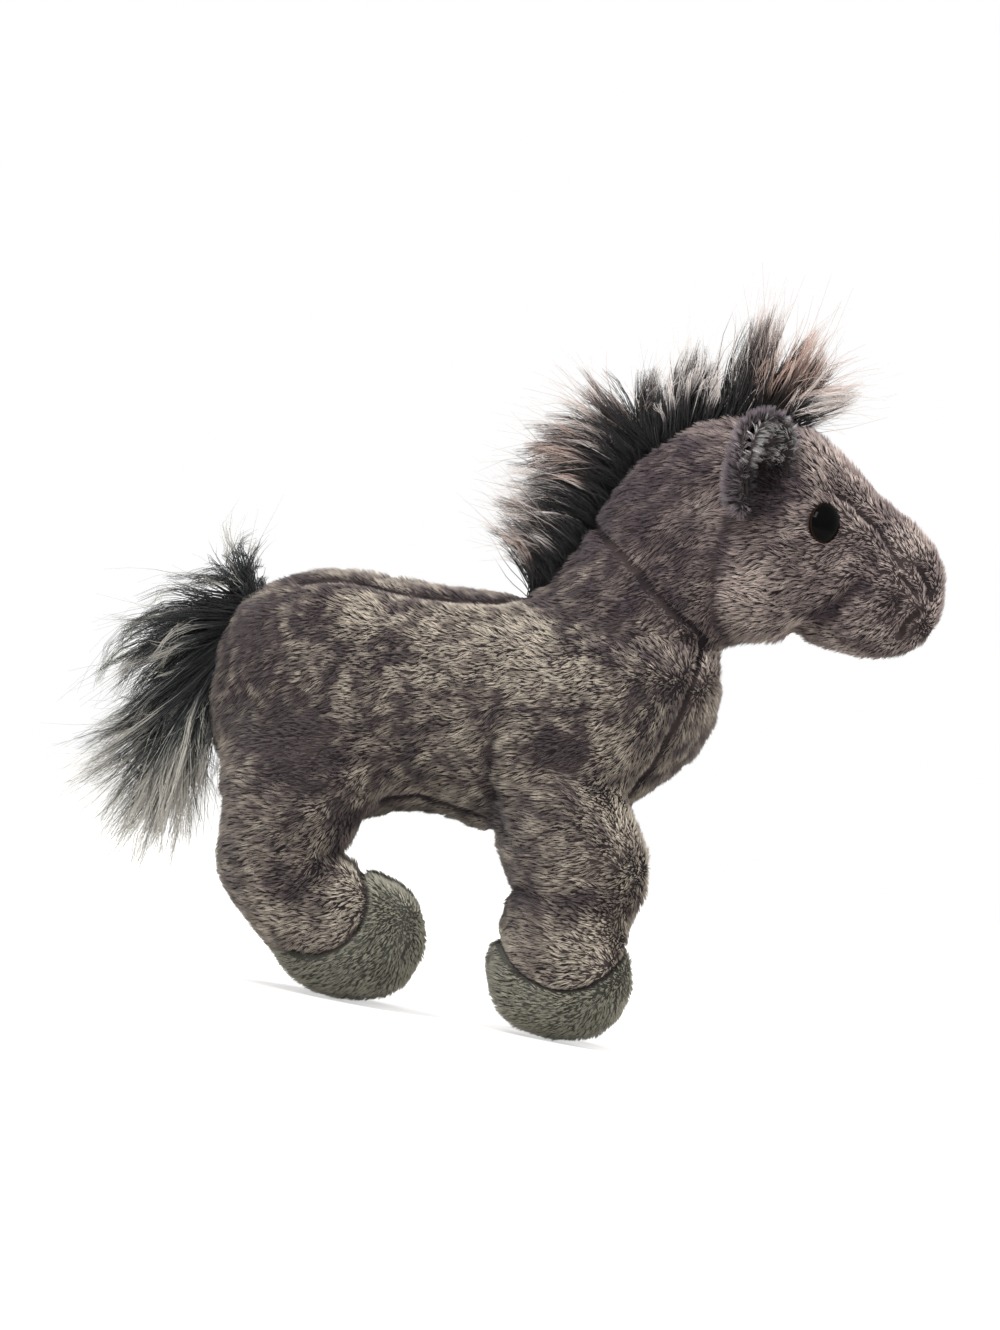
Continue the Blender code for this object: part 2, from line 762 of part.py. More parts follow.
def facing(place, outward, up):
    """A matrix whose Z looks outward, with X level across it."""
    z = outward.normalized()
    x = up.cross(z).normalized()
    y = z.cross(x)
    matrix = Matrix((x, y, z)).transposed().to_4x4()
    matrix.translation = place
    return matrix


def eye_matrix(outer):
    yaw, pitch = math.radians(EYE_YAW), math.radians(EYE_PITCH)
    outward = Vector(
        (math.sin(yaw) * math.cos(pitch), math.cos(yaw) * math.cos(pitch), math.sin(pitch))
    )
    hit = surface_hit(outer, head_point(*EYE_SHARE), outward)
    return facing(hit - outward * EYE_SINK, outward, Vector((0, 0, 1)))


def eye_bead(name):
    """A domed bead on a plate, with a barbed shank behind it."""
    step = SHANK_LENGTH / (SHANK_BARBS + 1)
    profile = [(0, -SHANK_LENGTH), (SHANK_RADIUS - SHANK_BARB, -SHANK_LENGTH)]
    for k in range(SHANK_BARBS):
        z = -SHANK_LENGTH + step * (k + 1)
        profile.append((SHANK_RADIUS + SHANK_BARB, z))
        profile.append((SHANK_RADIUS, z))
    profile += [(SHANK_RADIUS, 0), (EYE_RADIUS, 0), (EYE_RADIUS, EYE_RIM)]
    for k in range(1, DOME_STEPS):
        turn = math.pi / 2 * k / DOME_STEPS
        profile.append((EYE_RADIUS * math.cos(turn), EYE_RIM + EYE_DOME * math.sin(turn)))
    profile.append((0, EYE_RIM + EYE_DOME))
    return turned(name, profile, BEAD_SIDES)


def drum(name, radius, low, high):
    return turned(name, [(0, low), (radius, low), (radius, high), (0, high)], BEAD_SIDES)


def washer(name):
    """A flat ring that grips the shank behind the cloth."""
    top = -EYE_WEB - 2 * SEAM_GAP
    ring = drum(name, WASHER_RADIUS, top - WASHER_THICKNESS, top)
    bore = SHANK_RADIUS + SHANK_BARB + SEAM_GAP
    return cut(ring, drum("bore", bore, top - WASHER_THICKNESS - OVERRUN, top + OVERRUN))


def eye_room(name, matrix):
    """The cuts for one eye: a seat outside, a hole for the shank, and a seat for the washer."""
    hole = SHANK_RADIUS + SHANK_BARB + SEAM_GAP
    outside = drum(f"{name}_outside", EYE_RADIUS + SEAM_GAP, -SEAM_GAP, OVERRUN)
    through = drum(f"{name}_through", hole, -OVERRUN, OVERRUN)
    inside_top = -EYE_WEB - SEAM_GAP
    inside = drum(f"{name}_inside", WASHER_RADIUS + SEAM_GAP, -SHANK_LENGTH - SEAM_GAP, inside_top)
    tools = (outside, through, inside)
    for tool in tools:
        tool.data.transform(matrix)
    return tools


def ear_matrix(outer):
    pitch, yaw, lean = (math.radians(a) for a in (EAR_PITCH, EAR_YAW, EAR_LEAN))
    outward = Vector((0, math.cos(pitch), math.sin(pitch)))
    hit = surface_hit(outer, head_point(*EAR_SHARE), outward)
    place = hit + outward * EAR_ROOT_PROUD
    across = Vector((math.cos(yaw), -math.sin(yaw), 0))
    facing_out = Vector((math.sin(yaw), math.cos(yaw), 0))
    tall = Vector((0, 0, math.cos(lean))) + facing_out * math.sin(lean)
    depth = tall.cross(across)
    matrix = Matrix((across, depth, tall)).transposed().to_4x4()
    matrix.translation = place
    return matrix


def ear_width(share):
    for (v0, w0), (v1, w1) in zip(EAR_WIDTH_SHARES, EAR_WIDTH_SHARES[1:]):
        if share <= v1:
            return w0 + (w1 - w0) * (share - v0) / (v1 - v0)
    return EAR_WIDTH_SHARES[-1][1]


def ear_leaf(name, matrix, near, far, low_share, high_share, width_share):
    """A cupped leaf between two depths, its rims bent towards the side that the ear opens to."""
    rows, columns = EAR_ROWS, EAR_COLUMNS
    slabs = []
    for level in (near, far):
        grid = []
        for i in range(rows):
            v = low_share + (high_share - low_share) * i / (rows - 1)
            half = EAR_HALF_WIDTH * ear_width(v) * width_share
            line = []
            for j in range(columns):
                u = 2 * j / (columns - 1) - 1
                cup = EAR_CUP * (u * width_share) ** 2 * ear_width(v)
                line.append(matrix @ Vector((half * u, level + cup, EAR_HEIGHT * v)))
            grid.append(line)
        slabs.append(grid)
    return grid_slab(name, *slabs)


def ball(name, centre, radius):
    profile = [(0, -radius)]
    for k in range(1, BALL_STEPS):
        turn = math.pi * k / BALL_STEPS
        profile.append((radius * math.sin(turn), -radius * math.cos(turn)))
    profile.append((0, radius))
    obj = turned(name, profile, BEAD_SIDES)
    obj.data.transform(Matrix.Translation(centre))
    return obj


# Tail


def tail_joint(outer):
    """The tail's root bar lies half sunk in the seam at the top of the rump."""
    level = torso_point(0, TAIL_HEIGHT_SHARE)
    hit = surface_hit(outer, level, Vector((-1, 0, 0)))
    return hit - Vector((TAIL_ROOT_PROUD, 0, 0))


def tail_form(name, joint):
    columns = []
    for degrees, length_share in TAIL_LOCK_SHARES:
        turn = math.radians(degrees)
        way = Vector((math.cos(turn), 0, math.sin(turn)))
        columns.append((joint + way * TAIL_ROOT_REACH, joint + way * TAIL_LENGTH * length_share))
    tail = locks(name, columns, TAIL_HALF_THICKNESS)
    cut(tail, torso_form("clear", -SEAM_GAP))
    width = TAIL_HALF_THICKNESS * LOCK_VALLEY_SHARE
    join(tail, cross_disc("root", joint, TAIL_ROOT_RADIUS, width))
    return tail, width


def hair_on_crest(name, shares):
    columns = []
    for place, length_share, degrees in shares:
        turn = math.radians(degrees)
        way = Vector((math.cos(turn), 0, math.sin(turn)))
        root = crest_point(place)
        columns.append((root - way * HAIR_ROOT_DEPTH, root + way * MANE_LENGTH * length_share))
    return cut(locks(name, columns, MANE_HALF_THICKNESS), head_form("clear", -SEAM_GAP))


# Assembly


def pivot(name, place, parent):
    empty = bpy.data.objects.new(name, None)
    empty.empty_display_size = SEAM_GAP
    bpy.context.scene.collection.objects.link(empty)
    empty.parent = parent
    base = parent.matrix_world.translation if parent else Vector()
    empty.location = place - base
    bpy.context.view_layer.update()
    return empty


def hang(piece, empty, material):
    """Give a piece its material and put its origin on its body's joint."""
    piece.data.transform(Matrix.Translation(-empty.matrix_world.translation) @ piece.matrix_world)
    piece.matrix_world = Matrix.Identity(4)
    piece.parent = empty
    piece.data.materials.clear()
    piece.data.materials.append(material)
    piece.data.shade_smooth()
    piece.data.set_sharp_from_angle(angle=math.radians(SHARP_DEGREES))


def build():
    clear_scene()
    plush = plain_material("printed_plush", PLUSH_COLOR, PILE_ROUGHNESS)
    plush_dark = plain_material("printed_plush_dark", PLUSH_DARK_COLOR, PILE_ROUGHNESS)
    hoof_plush = plain_material("hoof_plush", HOOF_COLOR, PILE_ROUGHNESS)
    lining_plush = plain_material("lining_plush", LINING_COLOR, PILE_ROUGHNESS)
    stuffing = plain_material("stuffing", STUFFING_COLOR, STUFFING_ROUGHNESS)
    eye_plastic = plain_material("eye_plastic", EYE_COLOR, EYE_ROUGHNESS)
    washer_plastic = plain_material("washer_plastic", WASHER_COLOR, WASHER_ROUGHNESS)
    hair = plain_material("hair_fibre", HAIR_COLOR, HAIR_ROUGHNESS)

    horse = pivot("horse", Vector((0, 0, 0)), None)
    neck_pivot = pivot("neck_nod_axis", NECK, horse)
    head_pivot = pivot("head_tilt_axis", HEAD_JOINT, neck_pivot)

    # Trunk shell, split into its panels, and the trunk's filling
    torso_solid = torso_form("torso_solid")
    tail_place = tail_joint(torso_solid)
    tail, tail_width = tail_form("tail", tail_place)
    wells = [
        leg_well("hip_well", HIP, well_radius(LEG_JOINT_RADIUS)),
        leg_well("shoulder_well", SHOULDER, well_radius(LEG_JOINT_RADIUS)),
        cross_disc("neck_well", NECK, well_radius(NECK_JOINT_RADIUS)),
    ]
    tail_radius = well_radius(TAIL_ROOT_RADIUS)
    tail_well = cross_disc("tail_well", tail_place, tail_radius, tail_width + SEAM_GAP)
    shell = cut(copy_of(torso_solid, "shell"), torso_form("hollow", SKIN_WALL, INNER_SIDES))
    cut(shell, *wells, tail_well)
    back = keep(copy_of(shell, "back_gusset"), back_zone("z", 0.0))
    belly = keep(copy_of(shell, "belly_gusset"), belly_zone("z", 0.0))
    chest = keep(copy_of(shell, "chest_gusset"), chest_zone("z", 0.0))
    left = keep(copy_of(shell, "side_panel_left"), half_space("z", SEAM_GAP / 2))
    cut(left, back_zone("z", SEAM_GAP), belly_zone("z", SEAM_GAP), chest_zone("z", SEAM_GAP))
    right = mirrored(left, "side_panel_right")
    torso_filling = cut(torso_form("torso_filling", SKIN_WALL + SEAM_GAP, INNER_SIDES), *wells)
    for piece in (back, chest):
        hang(piece, horse, plush)
    hang(belly, horse, plush_dark)
    for piece in (left, right):
        hang(piece, horse, plush)
    hang(torso_filling, horse, stuffing)

    # Legs, made on the left and mirrored
    fore = (FORE_LEG_SHARES, FORE_LEG_POLE_SHARES, FORE_HOOF_FORWARD, FORE_SEAM_SHARES, FORE_SEAM_ARC)
    hind = (HIND_LEG_SHARES, HIND_LEG_POLE_SHARES, HIND_HOOF_FORWARD, HIND_SEAM_SHARES, HIND_SEAM_ARC)
    for end, joint, shape in (("fore", SHOULDER, fore), ("hind", HIP, hind)):
        pieces = make_leg(f"{end}_left", joint, *shape)
        twins = [mirrored(p, p.name.replace("left", "right")) for p in pieces]
        for side, group in (("left", pieces), ("right", twins)):
            axis = pivot(f"{end}_leg_axis_{side}", joint, horse)
            for piece, material in zip(group, (plush, hoof_plush, stuffing)):
                hang(piece, axis, material)

    # Neck and head share one form, split at the seam behind the cheeks
    outer = head_form("head_outer")
    hollow = head_form("head_hollow", SKIN_WALL, INNER_SIDES)
    stuffed = head_form("head_stuffed", SKIN_WALL + SEAM_GAP, INNER_SIDES)
    front = head_side("front", 0.0)
    behind = head_side("behind", -SEAM_GAP)
    neck_outer = join(neck_root("neck_outer", 0.0, SMOOTH_SIDES, 0.0), outer)
    neck_hollow = join(neck_root("neck_hollow", SKIN_WALL, INNER_SIDES, OVERRUN), hollow)
    cut(neck_outer, neck_hollow, behind)
    neck_left = keep(copy_of(neck_outer, "neck_panel_left"), half_space("z", SEAM_GAP / 2))
    neck_right = mirrored(neck_left, "neck_panel_right")
    neck_filling = join(neck_root("neck_filling", SKIN_WALL + SEAM_GAP, INNER_SIDES, 0.0), stuffed)
    cut(neck_filling, behind)

    head_shell = keep(cut(copy_of(outer, "head_shell"), hollow), front)
    head_filling = keep(copy_of(stuffed, "head_filling"), front)
    eye_place = eye_matrix(outer)
    ear_place = ear_matrix(outer)
    ear_root = ear_place.translation.copy()
    left_room = eye_room("eye_room", eye_place)
    right_room = [mirrored(tool, f"{tool.name}_right") for tool in left_room]
    ear_well = ball("ear_well", ear_root, EAR_ROOT_RADIUS + SEAM_GAP)
    face = keep(copy_of(head_shell, "face_gusset"), face_zone("z", 0.0))
    cheek = cut(keep(head_shell, half_space("z", SEAM_GAP / 2)), face_zone("z", SEAM_GAP))
    cheek.name = "cheek_panel_left"
    cut(cheek, *left_room, ear_well)
    cut(face, *left_room, *right_room)
    cheek_right = mirrored(cheek, "cheek_panel_right")
    cut(head_filling, left_room[2], right_room[2])
    for piece in (neck_left, neck_right):
        hang(piece, neck_pivot, plush)
    hang(neck_filling, neck_pivot, stuffing)
    for piece in (face, cheek, cheek_right):
        hang(piece, head_pivot, plush)
    hang(head_filling, head_pivot, stuffing)

    # Eyes and washers sit by place and turn on the head
    flip = Matrix.Diagonal((1, -1, 1, 1))
    eye_kinds = (("eye", eye_bead, eye_plastic), ("eye_washer", washer, washer_plastic))
    for name, maker, material in eye_kinds:
        for side, mirror in (("left", Matrix.Identity(4)), ("right", flip)):
            piece = maker(f"{name}_{side}")
            piece.data.transform(mirror @ eye_place)
            if side == "right":
                piece.data.flip_normals()
            hang(piece, head_pivot, material)

    # Ears fold about the level line through their sewn root
    back_leaf = ear_leaf("ear_back_left", ear_place, -EAR_BACK_THICKNESS, 0.0, 0.0, 1.0, 1.0)
    cut(back_leaf, head_form("clear", -SEAM_GAP))
    join(back_leaf, ball("root", ear_root, EAR_ROOT_RADIUS))
    lining_low = (EAR_ROOT_RADIUS + SEAM_GAP) / EAR_HEIGHT
    near, far = SEAM_GAP, SEAM_GAP + EAR_LINING_THICKNESS
    lining_shares = (lining_low, LINING_TOP_SHARE, LINING_WIDTH_SHARE)
    lining = ear_leaf("ear_lining_left", ear_place, near, far, *lining_shares)
    cut(lining, head_form("clear", -SEAM_GAP), ball("z", ear_root, EAR_ROOT_RADIUS + SEAM_GAP))
    ear_left = (back_leaf, lining)
    ear_right = [mirrored(p, p.name.replace("left", "right")) for p in ear_left]
    other_root = Vector((ear_root.x, -ear_root.y, ear_root.z))
    for side, place, group in (
        ("left", ear_root, ear_left),
        ("right", other_root, ear_right),
    ):
        axis = pivot(f"ear_axis_{side}", place, head_pivot)
        for piece, material in zip(group, (plush, lining_plush)):
            hang(piece, axis, material)

    # Mane on the neck, forelock on the head, split by the same seam plane
    mane = cut(hair_on_crest("mane", MANE_LOCK_SHARES), behind)
    forelock = keep(hair_on_crest("forelock", FORELOCK_SHARES), front)
    hang(mane, neck_pivot, hair)
    hang(forelock, head_pivot, hair)
    tail_pivot = pivot("tail_lift_axis", tail_place, horse)
    hang(tail, tail_pivot, hair)

    # Only the pieces stay: they are what hangs from a pivot
    for obj in list(bpy.data.objects):
        if obj.type == "MESH" and obj.parent is None:
            bpy.data.objects.remove(obj, do_unlink=True)
    bpy.context.view_layer.update()

    # The origin is on the floor, under the middle of the horse's length
    xs = [
        (obj.matrix_world @ v.co).x
        for obj in bpy.data.objects
        if obj.type == "MESH"
        for v in obj.data.vertices
    ]
    horse.location.x = -(min(xs) + max(xs)) / 2
    bpy.context.view_layer.update()
    for obj in bpy.data.objects:
        if obj.type == "EMPTY":
            place = obj.matrix_world.translation
            print(f"{obj.name}: {place.x:.6f} {place.y:.6f} {place.z:.6f}")
    tilt = SEAM_NORMAL
    across = ear_place.col[0]
    print(f"head tilt axis: {tilt.x:.6f} {tilt.y:.6f} {tilt.z:.6f}")
    print(f"left ear's level line: {across.x:.6f} {across.y:.6f} {across.z:.6f}")
    faces = sum(len(o.data.polygons) for o in bpy.data.objects if o.type == "MESH")
    print(f"pieces: {sum(o.type == 'MESH' for o in bpy.data.objects)}, faces: {faces}")


build()
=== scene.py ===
# %% [markdown]
# # A plush horse, from stuffed skins to combed pile
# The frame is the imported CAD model: its skins, fillings, joints and record.
# Everything below is placed in that frame, in metres, with the nose towards +X and the
# right side towards -Y. Lengths are written in millimetres and scaled once.

# %% Load the frame and clear what a new file holds
import math
from contextlib import contextmanager

import bmesh
import bpy
import numpy as np
from mathutils import Matrix, Quaternion, Vector, kdtree
from mathutils.bvhtree import BVHTree


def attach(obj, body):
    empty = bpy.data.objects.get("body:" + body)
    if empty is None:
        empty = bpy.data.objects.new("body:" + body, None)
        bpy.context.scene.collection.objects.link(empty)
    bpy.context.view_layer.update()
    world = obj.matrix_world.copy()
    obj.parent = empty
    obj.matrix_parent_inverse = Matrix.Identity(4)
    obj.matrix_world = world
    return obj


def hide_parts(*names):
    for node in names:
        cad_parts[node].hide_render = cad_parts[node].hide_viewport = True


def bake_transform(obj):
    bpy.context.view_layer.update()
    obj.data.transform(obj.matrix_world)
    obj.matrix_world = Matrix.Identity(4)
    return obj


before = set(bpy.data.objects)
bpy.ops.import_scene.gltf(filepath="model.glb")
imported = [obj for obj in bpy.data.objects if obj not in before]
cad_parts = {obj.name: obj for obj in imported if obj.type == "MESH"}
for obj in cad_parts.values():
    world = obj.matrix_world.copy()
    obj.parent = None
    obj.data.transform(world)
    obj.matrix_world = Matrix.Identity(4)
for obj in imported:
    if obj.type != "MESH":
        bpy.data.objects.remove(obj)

for spare in ("Cube", "Light", "Camera"):
    if spare in bpy.data.objects:
        bpy.data.objects.remove(bpy.data.objects[spare])
bpy.context.view_layer.update()

# %% [markdown]
# ## Measures and small helpers
# The side outline was read in millimetres from a point 1.753 mm behind the frame's own
# zero, so one function shifts and scales every point. Another leaves only the named pieces
# selected, because an operator acts on all that is selected.

# %% Points, selection and modifiers
MM = 0.001
SHIFT = 1.753
SIDES = (("left", 1), ("right", -1))


def at(x, z, y=0.0):
    """A point of the side outline, in millimetres, as a place in the frame."""
    return Vector((x + SHIFT, y, z)) * MM


def only(*pieces):
    """Go to object mode with just these pieces selected, the last one active."""
    if bpy.context.mode != "OBJECT":
        bpy.ops.object.mode_set(mode="OBJECT")
    bpy.ops.object.select_all(action="DESELECT")
    for piece in pieces:
        piece.select_set(True)
        bpy.context.view_layer.objects.active = piece


@contextmanager
def editing(piece):
    """Edit mode on one piece, with all of it selected."""
    only(piece)
    bpy.ops.object.mode_set(mode="EDIT")
    bpy.ops.mesh.select_all(action="SELECT")
    yield
    bpy.ops.object.mode_set(mode="OBJECT")


def begin(name, operator, **settings):
    """A named piece from one of Blender's own shapes."""
    only()
    operator(**settings)
    piece = bpy.context.object
    piece.name = piece.data.name = name
    return piece


def apply(piece, kind, **settings):
    """Put one modifier on a piece and apply it."""
    only(piece)
    modifier = piece.modifiers.new(kind.title(), kind)
    for key, value in settings.items():
        setattr(modifier, key, value)
    bpy.ops.object.modifier_apply(modifier=modifier.name)


def copy_of(piece, name):
    """A copy of a piece with its own mesh."""
    twin = piece.copy()
    twin.data = piece.data.copy()
    twin.name = twin.data.name = name
    bpy.context.scene.collection.objects.link(twin)
    return twin


def points_of(mesh, field="co"):
    """Vertex places or normals of a mesh as an array."""
    flat = np.empty(len(mesh.vertices) * 3)
    mesh.vertices.foreach_get(field, flat)
    return flat.reshape(-1, 3)


def reshape(piece, places):
    """Move a piece's vertices to these places."""
    piece.data.vertices.foreach_set("co", places.ravel())
    piece.data.update()


def search_tree(places):
    """A tree that finds the nearest of these places."""
    nest = kdtree.KDTree(len(places))
    for index, place in enumerate(places):
        nest.insert(place, index)
    nest.balance()
    return nest


# %% [markdown]
# ## Camera
# The horse is seen square from its right side, from a good way off, so a long lens is
# used. The picture is rolled: the back rises to the right. The frame is 300 mm wide at
# the middle of the horse.

# %% Camera at the photograph's angle
ROLL = math.radians(10.8)
VIEW_WIDTH = 300 * MM
LENS, SENSOR = 300, 36
AIM = at(-3.3, 107.1)
lens = bpy.data.cameras.new("camera")
lens.sensor_fit = "HORIZONTAL"
lens.sensor_width = SENSOR
lens.lens = LENS
lens.clip_start = 0.01
camera = bpy.data.objects.new("camera", lens)
bpy.context.scene.collection.objects.link(camera)
stand = AIM - Vector((0, VIEW_WIDTH * LENS / SENSOR, 0))
camera.matrix_world = (
    Matrix.Translation(stand) @ Matrix.Rotation(math.pi / 2, 4, "X") @ Matrix.Rotation(ROLL, 4, "Z")
)
bpy.context.scene.camera = camera
bpy.context.scene.view_settings.view_transform = "Standard"
print("camera stands", round(VIEW_WIDTH * LENS / SENSOR, 3), "m away")

# %% [markdown]
# ## Rings round a sphere
# A stuffed body is sewn from flat panels, and full of fibre it takes round sections. It
# could be blocked from a cube or drawn as one long loft. Here each form starts as a
# sphere whose rings are turned, stretched and moved to the outline one by one, so every
# section stays easy to change.

# %% A form from a ringed sphere
SEGMENTS = 24
# How far the skin lies inside the outline, which the pile fills, in millimetres
INSET = 1.0


def ring_form(name, rings, first, last, y=0.0):
    """A closed form: each ring runs from a top point to a low point of the outline."""
    gaps = len(rings) + 1
    form = begin(name, bpy.ops.mesh.primitive_uv_sphere_add, segments=SEGMENTS, ring_count=gaps)
    heights = points_of(form.data)[:, 2]
    close = 0.5 / gaps ** 2

    def pick(height):
        """Select the ring or the pole that the sphere had at this height."""
        work = bmesh.from_edit_mesh(form.data)
        for vert in work.verts:
            vert.select_set(bool(abs(heights[vert.index] - height) < close))
        work.select_flush_mode()

    with editing(form):
        bpy.ops.mesh.select_mode(type="VERT")
        for k, (top_x, top_z, low_x, low_z, half) in enumerate(rings, 1):
            turn = math.pi * k / gaps
            top, low = at(top_x, top_z), at(low_x, low_z)
            long, wide = (top - low).length / 2 - INSET * MM, (half - INSET) * MM
            lean = math.atan2(top.z - low.z, top.x - low.x)
            middle = (0, 0, math.cos(turn))
            pick(middle[2])
            bpy.ops.transform.resize(
                value=(long / math.sin(turn), wide / math.sin(turn), 1), center_override=middle
            )
            bpy.ops.transform.rotate(value=lean, orient_axis="Y", center_override=middle)
            bpy.ops.transform.translate(value=(top + low) / 2 + Vector((0, y * MM, 0)) - Vector(middle))
        for place, height in ((first, 1), (last, -1)):
            pick(height)
            bpy.ops.transform.translate(value=at(*place, y) - Vector((0, 0, height)))
    return form


# %% [markdown]
# ## Trunk
# The trunk is a barrel with a rounded rump and chest, cut by seams along the back, the
# belly and the breast. Its rings run from the tail to the breast.

# %% Trunk rings
TORSO_RINGS = (
    (-86.3, 99.0, -86.3, 80.0, 10.9), (-84, 109, -84, 71, 19.9), (-80.1, 115.6, -80.1, 63, 26.9),
    (-73, 119.9, -73, 57.1, 33.1), (-63.2, 125.4, -63.2, 54.4, 37), (-50.1, 127.6, -50.1, 54, 38.4),
    (-36, 127.6, -36, 52.6, 38.4), (-25, 127.5, -25, 58.8, 38), (-11.9, 128.4, -11.9, 59.6, 38),
    (0, 130, 0, 57, 38.6), (11.9, 131.4, 11.9, 56.6, 39), (24, 132, 24, 60, 39), (36, 132, 36, 67, 37.4),
    (46, 130, 46, 76.5, 33.9), (54, 125.5, 54, 84.5, 28.1), (59, 123.5, 59, 91, 20.9),
    (62, 119.5, 62, 97.5, 12.5),
)
torso = ring_form("torso_skin", TORSO_RINGS, (-87.3 + INSET, 89.9), (64 - INSET, 109))
print("trunk", len(torso.data.vertices), "vertices")

# %% [markdown]
# ## Neck and head
# Neck and head are one loft from the breast up over the poll to the nose, with the jaw
# flat below and the muzzle blunt. The widest ring is at the cheeks.

# %% Neck and head rings
HEAD_RINGS = (
    (12, 121, 50.5, 113.9, 20), (3.3, 130.5, 58.4, 125, 26.2), (9, 140, 60.4, 125.5, 25.1),
    (14, 151, 61.2, 125.7, 24.5), (18.5, 164, 61.9, 125.9, 24.5), (26, 177, 62.6, 126.1, 25),
    (40, 190, 64.2, 126.3, 26), (54, 195.3, 68, 126.7, 27), (68, 196.2, 74.5, 128.5, 26.7),
    (79, 193.4, 80, 131.3, 25), (89, 187.1, 88, 130.3, 20.8), (98, 180.4, 98, 128.4, 17.8),
    (106, 175.6, 106, 128.4, 16.3), (113, 172.3, 113, 130.5, 15), (119.2, 167.6, 119, 134.2, 12.2),
    (123, 160, 122.8, 139.8, 8),
)
head = ring_form("head_skin", HEAD_RINGS, (31, 112.2), (125 - INSET, 149))
print("neck and head", len(head.data.vertices), "vertices")

# %% [markdown]
# ## Legs and hooves
# A leg is a short stuffed tube with a round foot of another plush. One fore and one hind
# leg are modelled and copied to the other side. A hoof starts as a cube that is divided
# and blown up towards a ball, so it keeps a flat sole.

# %% Leg rings
LEG_Y = 19.75
# A ring's height, its rear and front end and half its width
FORE_RINGS = (
    (80, 9, 39, 15), (72, 3, 42.9, 18.4), (64, 2, 49.4, 18.8), (57, 3.5, 53.4, 18.4), (49.9, 7.4, 54, 17.8),
    (42.9, 11.7, 51.3, 16.9), (36, 11, 50, 16.9), (28, 10.5, 48.5, 17.2), (20, 14.5, 46.5, 16.5),
    (14.1, 20, 41, 13.1),
)
HIND_RINGS = (
    (76, -72, -44.1, 15), (68, -79.1, -34.6, 18.4), (60, -80.1, -31, 18.8), (52, -77.5, -35, 18.2),
    (46, -76.3, -37.2, 17.4), (40, -77, -37.6, 16.9), (34, -76.3, -36.6, 16.9), (28, -73.6, -34.1, 17.2),
    (21, -66, -33.1, 16.9), (14, -57.6, -35.1, 14.1),
)


def leg_form(name, rings, first, last):
    """A right leg from level rings."""
    return ring_form(name, [(front, z, rear, z, half) for z, rear, front, half in rings], first, last, -LEG_Y)


fore = leg_form("fore", FORE_RINGS, (24, 85.1), (30.5, 10))
hind = leg_form("hind", HIND_RINGS, (-58.1, 80.4), (-46.1, 8.5))

# %% Hooves
HOOF_HIGH, HOOF_WIDE, HOOF_MIDDLE = 41, 35, 19.9
HOOF_CUTS, HOOF_ROUND = 7, 0.86


def hoof_form(name, x, long):
    """A blunt foot with a flat sole, from a cube blown towards a ball."""
    foot = begin(name, bpy.ops.mesh.primitive_cube_add)
    with editing(foot):
        bpy.ops.mesh.subdivide(number_cuts=HOOF_CUTS)
    apply(foot, "CAST", cast_type="SPHERE", factor=HOOF_ROUND)
    reach = points_of(foot.data).max(axis=0)
    half = [(size / 2 - INSET) * MM for size in (long, HOOF_WIDE, HOOF_HIGH)]
    with editing(foot):
        bpy.ops.transform.resize(value=[h / r for h, r in zip(half, reach)], center_override=(0, 0, 0))
        bpy.ops.transform.translate(value=at(x, HOOF_MIDDLE, -LEG_Y))
    return foot


others = []
rights = (fore, hind, hoof_form("fore_hoof", 31.6, 46.2), hoof_form("hind_hoof", -32.2, 47.6))
for part in rights:
    others.append(copy_of(part, part.name + "_left"))
    with editing(others[-1]):
        bpy.ops.transform.translate(value=(0, 2 * LEG_Y * MM, 0))
print("legs and hooves", len(others) * 2, "forms")

# %% [markdown]
# ## One skin
# The panels meet in soft valleys, not in sharp cuts. All the forms are joined and turned
# into one even net of small squares, which is then smoothed a little.

# %% Join and remesh
COARSE, FINE = 4 * MM, 1.5 * MM
SOFTEN = 0.5
only(*rights, *others, head, torso)
bpy.ops.object.join()
body = bpy.context.object
body.name = body.data.name = "body"
apply(body, "REMESH", mode="VOXEL", voxel_size=COARSE)
apply(body, "SMOOTH", factor=SOFTEN, iterations=3)
print("one skin", len(body.data.vertices), "vertices")

# %% [markdown]
# ## Seams
# Panels are sewn inside out, so each seam shows as a valley with the pile closing over it.
# A seam is listed as points of the side outline, and how near a point is to it is measured
# in the side view, so both flanks get the same seams and a leg's seam goes right round.

# %% Seam lines, depth and reach in millimetres


def arc(x, z, radius, first, last, steps=24):
    """Points of an arc of the side outline, angles in degrees."""
    turns = [math.radians(first + (last - first) * k / steps) for k in range(steps + 1)]
    return [(x + radius * math.cos(t), z + radius * math.sin(t)) for t in turns]


